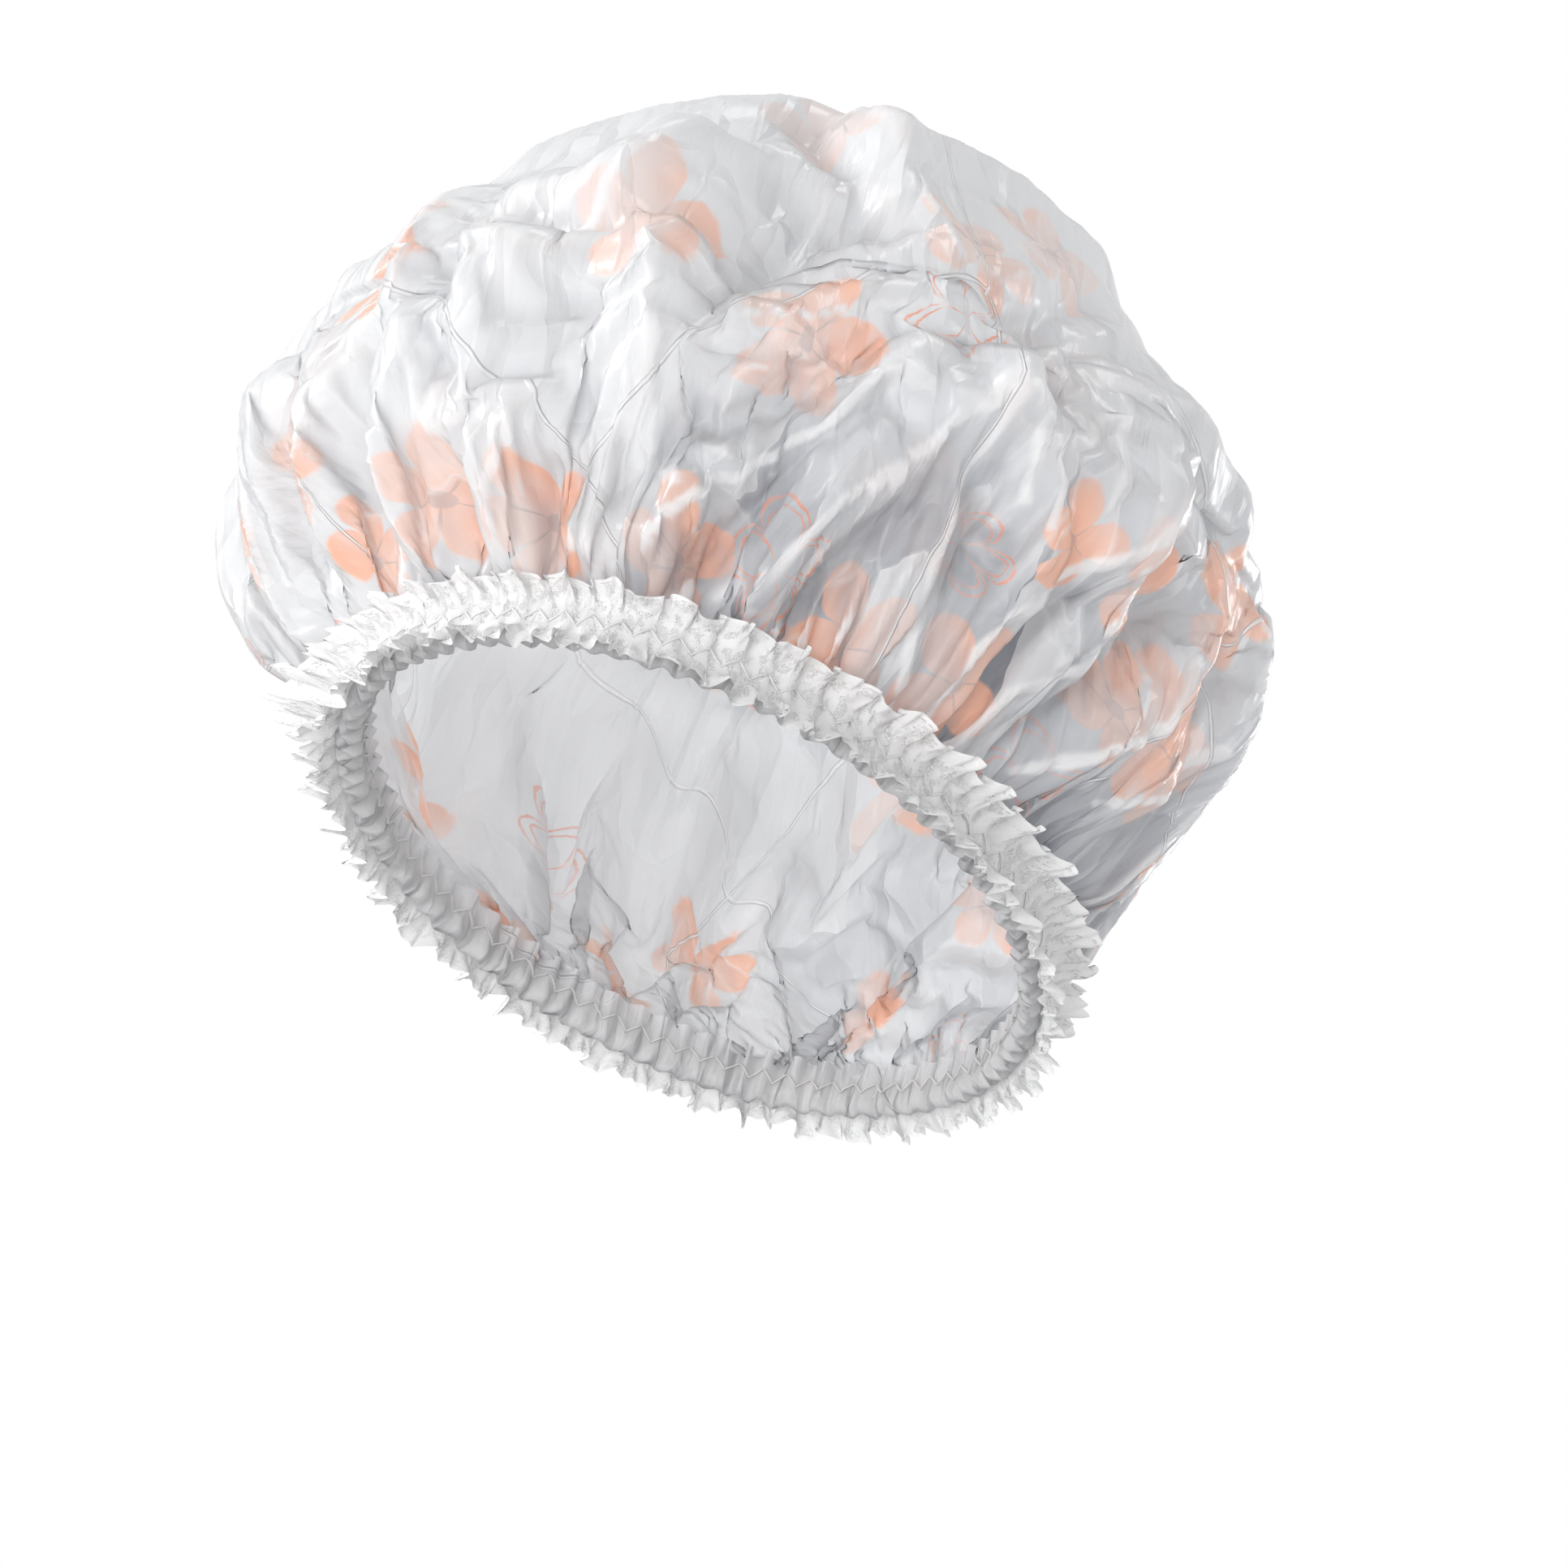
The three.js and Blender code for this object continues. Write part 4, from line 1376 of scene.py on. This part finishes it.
@dataclass(frozen=True)
class FilmFinish:
    """Milky translucent film with a pale flower print, crumpled and glossy.

    A pair of numbers is where a ramp starts and ends, or the values at a share of 0 and of 1.
    """

    film: Colour = (0.815, 0.825, 0.84, 1.0)
    # The second film colour is painted shade on one side, the third painted shade in hollows and on some
    # facets; the haze also paints highlights.
    side_shade_film: Colour = (0.25, 0.28, 0.325, 1.0)
    deep_shade_film: Colour = (0.095, 0.115, 0.15, 1.0)
    haze_and_highlight: Colour = (0.92, 0.92, 0.925, 1.0)
    peach: Colour = (0.95, 0.53, 0.38, 1.0)
    coral: Colour = (0.88, 0.36, 0.25, 1.0)
    pencil: Colour = (0.33, 0.34, 0.37, 1.0)
    glow: Colour = (0.71, 0.73, 0.755, 1.0)
    shaded_glow: Colour = (0.25, 0.28, 0.33, 1.0)
    flowers: FlowerPrint = FlowerPrint()
    panel_radius: float = 0.263
    see_through: float = 0.16
    thin_share: float = 0.30
    # Directions across, up and forward along which the painted shade of one side is laid out.
    sideways: Triple = (0.858, 0.444, 0.261)
    upward: Triple = (0.040, -0.563, 0.826)
    forward: Triple = (0.513, -0.698, -0.500)
    drift: Pair = (-0.04, 0.04)
    side_shade_across: Pair = (-0.024, 0.016)
    side_shade_up: Pair = (0.150, 0.060)
    side_shade_edge: Pair = (0.070, 0.115)
    side_shade_front: Pair = (-0.055, -0.010)
    side_shade_strength: float = 0.92
    calm_middle: Pair = (0.045, 0.14)
    streaks_round: float = 34.0
    streaks_out: float = 26.0
    facet_size: float = 0.016
    facet_stretch: float = 2.6
    facet_sway: float = 0.6
    facet_ring: float = 0.6
    packing_turn: float = math.radians(65)
    packing_places: Pair = (-0.0315, 0.1516)
    packing_gap: float = 0.073
    packing_line: Pair = (0.0007, 0.0002)
    relief: float = 0.0010
    side_shade_edge_share: Pair = (1.0, 0.35)
    side_shade_front_share: Pair = (0.22, 1.0)
    ridge_highlight: Pair = (0.1, 0.9)
    hollow_shade: Pair = (0.0, -1.0)
    hollow_share: Pair = (0.10, 0.60)
    veil_scale: float = 0.9
    veil_tone: Pair = (0.52, 0.70)
    veil_share: float = 0.16
    veiled_ink: Pair = (1.0, 0.72)
    cloud_scale: float = 14.0
    cloud_tone: Pair = (0.46, 0.70)
    cloud_share: float = 0.25
    sway_scale: float = 45.0
    shaded_facet_cells: Pair = (0.50, 0.05)
    shaded_facet_share: Pair = (0.02, 0.74)
    lit_facet_cells: Pair = (0.60, 0.95)
    lit_facet_share: Pair = (0.10, 0.60)
    patch_scale: float = 20.0
    patch_tone: Pair = (0.38, 0.62)
    patch_share: Pair = (0.40, 1.0)
    ink_middle: Pair = (0.11, 0.19)
    ink_share: Pair = (0.65, 1.0)
    crease_line: Pair = (0.045, 0.005)
    crease_cloud: Pair = (0.1, 0.6)
    crease_share: float = 0.35
    ridge_share: float = 0.85
    packed_share: float = 0.8
    pencil_share: float = 0.40
    casing_edge: Pair = (-0.006, 0.004)
    crinkle_scale: float = 150.0
    crinkle_height: float = 0.12
    streak_height: float = 0.6
    packed_height: float = 0.5
    facet_depth: float = 5.0
    gloss_scale: float = 60.0
    roughness: Pair = (0.30, 0.48)
    printed_window: float = 0.35
    shaded_window: Pair = (1.0, 0.40)

    def side_shade_share(self, recipe: Recipe, uv: Signal) -> Signal:
        """Share of painted shade, a darker film colour: most on one side of the front.

        Args:
            recipe: the material under construction.
            uv: place on the flat disc, which makes it drift.

        Returns:
            The product of one ramp along each of three directions.
        """
        place = recipe.add("TexCoord", output="Object")
        drift = recipe.noise(uv, 9.0).between(*self.drift)
        ways = (self.sideways, self.upward, self.forward)
        side, top, front = (place.along(way) + drift for way in ways)
        side_shade = side.step(*self.side_shade_across) * top.step(*self.side_shade_up)
        side_shade = side_shade * side.step(*self.side_shade_edge).between(*self.side_shade_edge_share)
        return side_shade * front.step(*self.side_shade_front).between(*self.side_shade_front_share)

    def packing_lines(self, recipe: Recipe, uv: Signal) -> Signal:
        """Thin straight lines, square to each other, where the flat film was folded for its packet.

        The place along each of two directions is folded back and forth over the gap, so that it
        is nothing on each line. The line shows where that is small.

        Args:
            recipe: the material under construction.
            uv: place on the flat disc.

        Returns:
            The mask of the lines.
        """
        cos, sin = math.cos(self.packing_turn), math.sin(self.packing_turn)
        gaps = (
            recipe.math("PINGPONG", uv.along(way) - place, self.packing_gap)
            for way, place in zip(((cos, sin, 0.0), (sin, -cos, 0.0)), self.packing_places)
        )
        first, second = (gap.step(*self.packing_line) for gap in gaps)
        return first | second

    def material(self) -> bpy.types.Material:
        """Makes the film: tinted, printed, with white packing lines and fine crinkles, painted
        highlights on its ridges, crease lines and some facets, and painted shade in its hollows,
        on some facets and on one side.

        Returns:
            The material.
        """
        recipe = Recipe("film")
        uv = recipe.uv("flat")
        u, v, _ = uv.split()
        away, angle = recipe.distance(u, v), recipe.math("ARCTAN2", v, u)
        outer = away.step(*self.calm_middle)
        # The painted light of the folds: a painted highlight on the ridges, painted shade in the hollows.
        fold_light = recipe.add("Attribute", output="Fac", attribute_name="fold_light_and_shade")
        ridge, hollow = fold_light.step(*self.ridge_highlight), fold_light.step(*self.hollow_shade)
        streak_place = recipe.join(angle * self.streaks_round, away * self.streaks_out)
        streak = recipe.noise(streak_place, 1.0, 4.0) * outer
        veil = recipe.noise(streak_place, self.veil_scale).step(*self.veil_tone) * outer
        cloud = recipe.noise(uv, self.cloud_scale, 3.0).step(*self.cloud_tone)
        side_shade = self.side_shade_share(recipe, uv)

        sway = recipe.noise(uv, self.sway_scale)
        ring = self.panel_radius * self.facet_ring
        girth = sway * self.facet_sway + angle * (ring / self.facet_size)
        facet_place = recipe.join(girth, away * (1 / self.facet_size / self.facet_stretch) + sway)
        facet = recipe.cells(facet_place, 1.0) * outer
        # Each facet gets a random painted light: a painted highlight on some facets and painted shade on
        # others, mostly on the side with painted shade.
        facet_light = recipe.add("TexVoronoi", {"Vector": facet_place, "Scale": 1.0}, "Color").split()[0]
        shaded_facets = facet_light.step(*self.shaded_facet_cells) * side_shade.between(*self.shaded_facet_share) * outer
        lit_facets = facet_light.step(*self.lit_facet_cells) * side_shade.between(*self.lit_facet_share)
        # Painted shade in the hollows of the folds and on the shaded facets.
        painted_shade = hollow * side_shade.between(*self.hollow_share) | shaded_facets

        filled, drawn, pencil = self.flowers.masks(recipe)
        patchy = recipe.noise(uv, self.patch_scale, 3.0).step(*self.patch_tone)
        patchy = patchy.between(*self.patch_share) * veil.between(*self.veiled_ink)
        # The ink is paler towards the disc's middle, at the top of the crown.
        worn = away.step(*self.ink_middle).between(*self.ink_share)
        ink = (filled | drawn) * patchy * worn
        packed = self.packing_lines(recipe, uv)
        # Painted highlights along the facet edges and on the ridges, together with the whitish packing lines
        # and casing.
        crease_highlight = facet.step(*self.crease_line) * cloud.step(*self.crease_cloud) * outer
        casing = away.step(*(self.panel_radius + past for past in self.casing_edge))
        white = ridge * self.ridge_share | packed * self.packed_share
        white = white | crease_highlight * self.crease_share | casing
        # Painted shade: the film colour turns darker on one side of the front.
        base = recipe.mix(side_shade * self.side_shade_strength, self.film, self.side_shade_film)
        # Over it go painted shade, painted facet highlights, milky cloud and veil, the print and its pencil
        # lines, and last the painted highlights with the whitish packing lines and casing.
        for share, colour in (
            (painted_shade, self.deep_shade_film),
            (lit_facets, self.haze_and_highlight),
            (cloud * self.cloud_share, self.haze_and_highlight),
            (veil * self.veil_share, self.haze_and_highlight),
            (ink, recipe.mix(drawn, self.peach, self.coral)),
            (pencil * self.pencil_share, self.pencil),
            (white, self.haze_and_highlight),
        ):
            base = recipe.mix(share, base, colour)

        height = recipe.cells(uv, self.crinkle_scale) * self.crinkle_height
        height = height + streak * self.streak_height + packed * self.packed_height
        normal = recipe.bump(height - facet * self.facet_depth, self.relief)
        glossy = recipe.shader(
            "Principled", Base_Color=base, Normal=normal, IOR=1.45,
            Roughness=recipe.noise(uv, self.gloss_scale).between(*self.roughness),
            Coat_Weight=0.5, Coat_Roughness=0.12, Coat_IOR=1.45, Coat_Normal=normal,
        )
        # Where shade is painted, the translucent colour is darker and the film less see-through.
        glow = recipe.mix(ink, recipe.mix(painted_shade, self.glow, self.shaded_glow), base)
        through = recipe.shader("Translucent", Color=glow, Normal=normal)
        printed = self.see_through * self.printed_window
        window = ink.between(self.see_through, printed) * painted_shade.between(*self.shaded_window)
        cloth = recipe.mixed(self.thin_share, glossy, through)
        return recipe.finish(recipe.mixed(window, cloth, recipe.shader("Transparent", Color=CLEAR)))


@dataclass(frozen=True)
class LaceFinish:
    """White nylon net lace with denser sprigs and corded edges."""

    white: Colour = (0.985, 0.985, 0.985, 1.0)
    shade: Colour = (0.94, 0.945, 0.95, 1.0)
    mesh_size: float = 0.0009
    mesh_order: float = 0.55
    thread: Pair = (0.20, 0.12)
    sprig: Pair = (0.40, 0.52)
    height: float = 0.023
    cord: float = 0.0012
    cord_ease: float = 0.7
    covered: Pair = (0.86, 0.99)
    thin_share: float = 0.12
    relief: float = 0.0004
    sprig_scale: float = 220.0
    fibre_scale: float = 1600.0
    fibre_stretch: Triple = (1.0, 2.6, 1.0)
    fibre_height: float = 0.6

    def material(self) -> bpy.types.Material:
        """Makes the lace: threads round open cells, filled where the sprigs and the edges are.

        Returns:
            The material.
        """
        recipe = Recipe("lace")
        uv = recipe.uv("strip")
        _, across, _ = uv.split()
        threads = recipe.cells(uv, 1 / self.mesh_size, self.mesh_order).step(*self.thread)
        sprig = recipe.noise(uv, self.sprig_scale).step(*self.sprig)
        half = self.height / 2
        cord = abs(across - half).step(half - self.cord, half - self.cord * self.cord_ease)
        solid = threads | sprig | cord
        inputs = {0: uv, 1: self.fibre_stretch}
        stretched = recipe.add("VectorMath", inputs, operation="MULTIPLY")
        fibre = recipe.noise(stretched, self.fibre_scale, 3.0)
        normal = recipe.bump(solid + fibre * self.fibre_height, self.relief)
        colour = recipe.mix(fibre, self.shade, self.white)
        cloth = recipe.shader(
            "Principled", Base_Color=colour, Roughness=0.75, Normal=normal, Sheen_Weight=0.3
        )
        through = recipe.shader("Translucent", Color=self.white, Normal=normal)
        net = recipe.mixed(self.thin_share, cloth, through)
        clear = recipe.shader("Transparent", Color=CLEAR)
        return recipe.finish(recipe.mixed(solid.between(*self.covered), clear, net))


@dataclass(frozen=True)
class BraidFinish:
    """White braided elastic: rubber cords under slanting yarn."""

    yarn: Colour = (0.86, 0.85, 0.83, 1.0)
    gap: Colour = (0.62, 0.61, 0.59, 1.0)
    waves: float = 5200.0
    edge: Pair = (0.0, 0.4)
    relief: float = 0.00015

    def material(self) -> bpy.types.Material:
        """Makes the braid from two slanting waves along the strip, with painted shade in the gaps between the
        yarns.

        Returns:
            The material.
        """
        recipe = Recipe("elastic")
        across, along, _ = recipe.uv("strip").split()
        slants = (along + across, along - across)
        left, right = (recipe.math("SINE", slant * self.waves) for slant in slants)
        weave = abs(left * right)
        colour = recipe.mix(weave.step(*self.edge), self.gap, self.yarn)
        normal = recipe.bump(weave, self.relief)
        return recipe.finish(
            recipe.shader("Principled", Base_Color=colour, Roughness=0.85, Normal=normal, Sheen_Weight=0.25)
        )


@dataclass(frozen=True)
class ThreadFinish:
    """White twisted polyester thread."""

    light: Colour = (0.93, 0.92, 0.91, 1.0)
    groove_shade: Colour = (0.70, 0.69, 0.68, 1.0)
    twist: float = 0.0011
    plies: float = 2.0
    edge: Pair = (0.0, 0.5)
    relief: float = 0.0001

    def material(self) -> bpy.types.Material:
        """Makes the twist: stripes that run round the thread as they run along it, with painted shade in the
        grooves between the plies.

        Returns:
            The material.
        """
        recipe = Recipe("thread")
        round_it, along, _ = recipe.uv("strip").split()
        phase = along * (TURN / self.twist) + round_it * (self.plies * TURN)
        ply = abs(recipe.math("SINE", phase))
        colour = recipe.mix(ply.step(*self.edge), self.groove_shade, self.light)
        normal = recipe.bump(ply, self.relief)
        return recipe.finish(
            recipe.shader("Principled", Base_Color=colour, Roughness=0.5, Normal=normal, Sheen_Weight=0.4)
        )


# Studio


def away_from(azimuth: float, elevation: float) -> Vector:
    """Direction from the cap, by azimuth from its front to its left and elevation, in degrees.

    Args:
        azimuth: turn from the front to the left, in degrees.
        elevation: height over level, in degrees.

    Returns:
        The direction, of length one.
    """
    turn, lift = math.radians(azimuth), math.radians(elevation)
    level = math.cos(lift)
    return Vector((math.sin(turn) * level, -math.cos(turn) * level, math.sin(lift)))


@dataclass(frozen=True)
class Lamp:
    """Square soft light that faces the cap, placed by its direction from it in degrees."""

    name: str
    azimuth: float
    elevation: float
    distance: float
    size: float
    watts: float

    def build(self, target: Vector) -> None:
        """Adds the lamp to the scene.

        Args:
            target: the place that it faces.
        """
        back = away_from(self.azimuth, self.elevation)
        data = bpy.data.lights.new(self.name, "AREA")
        data.size, data.energy = self.size, self.watts
        lamp = bpy.data.objects.new(self.name, data)
        lamp.location = target + back * self.distance
        lamp.rotation_euler = back.to_track_quat("Z", "Y").to_euler()
        bpy.context.scene.collection.objects.link(lamp)


@dataclass(frozen=True)
class Studio:
    """Pale floor, white surround, soft lamps and the camera."""

    aim: Triple = (0.0, 0.0, 0.010)
    lamp_aim: Triple = (0.0, 0.0, 0.09)
    azimuth: float = 36.3
    elevation: float = -30.0
    roll: float = 17.5
    distance: float = 1.6
    picture_pixels: float = 1932
    pixels_per_metre: float = 5240
    aim_pixel: Pair = (857.8, 1064.9)
    sensor: float = 36.0
    farthest: float = 20.0
    floor_half: float = 2.5
    floor_colour: Colour = (0.86, 0.86, 0.86, 1.0)
    world_light: float = 0.38
    lamps: tuple[Lamp, ...] = (
        Lamp("key", -50, 16, 1.4, 0.5, 11.5),
        Lamp("fill", 10, -34, 2.2, 2.0, 36),
        Lamp("right", 112, 14, 1.4, 0.5, 4),
        Lamp("top", 10, 74, 1.5, 0.5, 4),
        Lamp("back", 170, 26, 1.5, 0.6, 6),
    )

    def camera(self) -> None:
        """Adds the camera at the photograph's angle, with the cap where it lies in the frame."""
        roll, turn = math.radians(self.roll), math.radians(self.azimuth)
        back = away_from(self.azimuth, self.elevation)
        level = Vector((math.cos(turn), math.sin(turn), 0.0))
        upward = back.cross(level)
        right = math.cos(roll) * level + math.sin(roll) * upward
        up = math.cos(roll) * upward - math.sin(roll) * level
        middle, scale = self.picture_pixels / 2, self.pixels_per_metre
        across, down = ((middle - pixel) / scale for pixel in self.aim_pixel)
        place = Vector(self.aim) + back * self.distance + right * across - up * down
        data = bpy.data.cameras.new("camera")
        data.sensor_width = self.sensor
        data.lens = self.sensor * self.distance * self.pixels_per_metre / self.picture_pixels
        data.clip_end = self.farthest
        camera = bpy.data.objects.new("camera", data)
        rows = [[right[i], up[i], back[i], place[i]] for i in range(3)]
        camera.matrix_world = Matrix([*rows, [0, 0, 0, 1]])
        bpy.context.scene.collection.objects.link(camera)
        bpy.context.scene.camera = camera

    def world(self) -> None:
        """White surround for sight, gloss and glass, and an even plain light for the rest."""
        world = bpy.data.worlds.new("surround")
        world.use_nodes = True
        nodes, links = world.node_tree.nodes, world.node_tree.links
        nodes.clear()
        kinds = ("LightPath", "Background", "Background")
        path, plain, white = (nodes.new("ShaderNode" + kind) for kind in kinds)
        plain.inputs["Color"].default_value = white.inputs["Color"].default_value = CLEAR
        plain.inputs["Strength"].default_value = self.world_light
        seen = path.outputs["Is Camera Ray"]
        for ray in ("Is Glossy Ray", "Is Transmission Ray"):
            either = nodes.new("ShaderNodeMath")
            either.operation = "MAXIMUM"
            links.new(seen, either.inputs[0])
            links.new(path.outputs[ray], either.inputs[1])
            seen = either.outputs[0]
        mix, output = nodes.new("ShaderNodeMixShader"), nodes.new("ShaderNodeOutputWorld")
        links.new(seen, mix.inputs[0])
        links.new(plain.outputs[0], mix.inputs[1])
        links.new(white.outputs[0], mix.inputs[2])
        links.new(mix.outputs[0], output.inputs["Surface"])
        bpy.context.scene.world = world

    def floor(self) -> None:
        """Pale floor that is clear from below, where the camera is, and lets the lamps through."""
        half = self.floor_half
        corners = half * np.array([(-1, -1, 0), (1, -1, 0), (1, 1, 0), (-1, 1, 0)], dtype=float)
        floor = make_piece("floor", corners, np.array([[0, 1, 2, 3]]))
        recipe = Recipe("floor")
        below = recipe.add("NewGeometry", output="Backfacing")
        below = below | recipe.add("LightPath", output="Is Shadow Ray")
        pale = recipe.shader("Diffuse", Color=self.floor_colour)
        clear = recipe.shader("Transparent", Color=CLEAR)
        floor.data.materials.append(recipe.finish(recipe.mixed(below, pale, clear)))

    def build(self) -> None:
        """Sets up camera, lights, floor and surround."""
        self.camera()
        self.world()
        self.floor()
        for lamp in self.lamps:
            lamp.build(Vector(self.lamp_aim))
        bpy.context.scene.view_settings.view_transform = "Standard"


def dress(piece: bpy.types.Object, material: bpy.types.Material, node: str) -> None:
    """Gives a piece its material and slot, and puts it in place of its CAD node.

    Args:
        piece: the piece.
        material: its finish.
        node: the CAD node that it stands for.
    """
    piece.data.materials.append(material)
    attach(piece, "root")
    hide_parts(node)
    mesh = piece.data
    log.info("%s: %d points, %d faces", piece.name, len(mesh.vertices), len(mesh.polygons))


def main() -> None:
    """Builds the studio and the cap, piece by piece."""
    logging.basicConfig(level=logging.INFO, format="%(name)s %(message)s")
    Studio().build()
    film = CrownFilm()
    crown = film.build()
    dress(crown, FilmFinish().material(), "crown_film")
    lace = LaceRuffle()
    ruffle = lace.build()
    dress(ruffle, LaceFinish().material(), "lace_ruffle")
    dress(Elastic().build(), BraidFinish().material(), "elastic_band")
    seam, thread = Stitching(), ThreadFinish().material()
    dress(seam.zigzag("needle_stitches", seam.outer_out), thread, "needle_thread")
    dress(seam.zigzag("bobbin_stitches", seam.inner_out), thread, "bobbin_thread")
    dress(seam.lap_tack(), thread, "elastic_lap_tack")


if __name__ == "__main__":
    main()
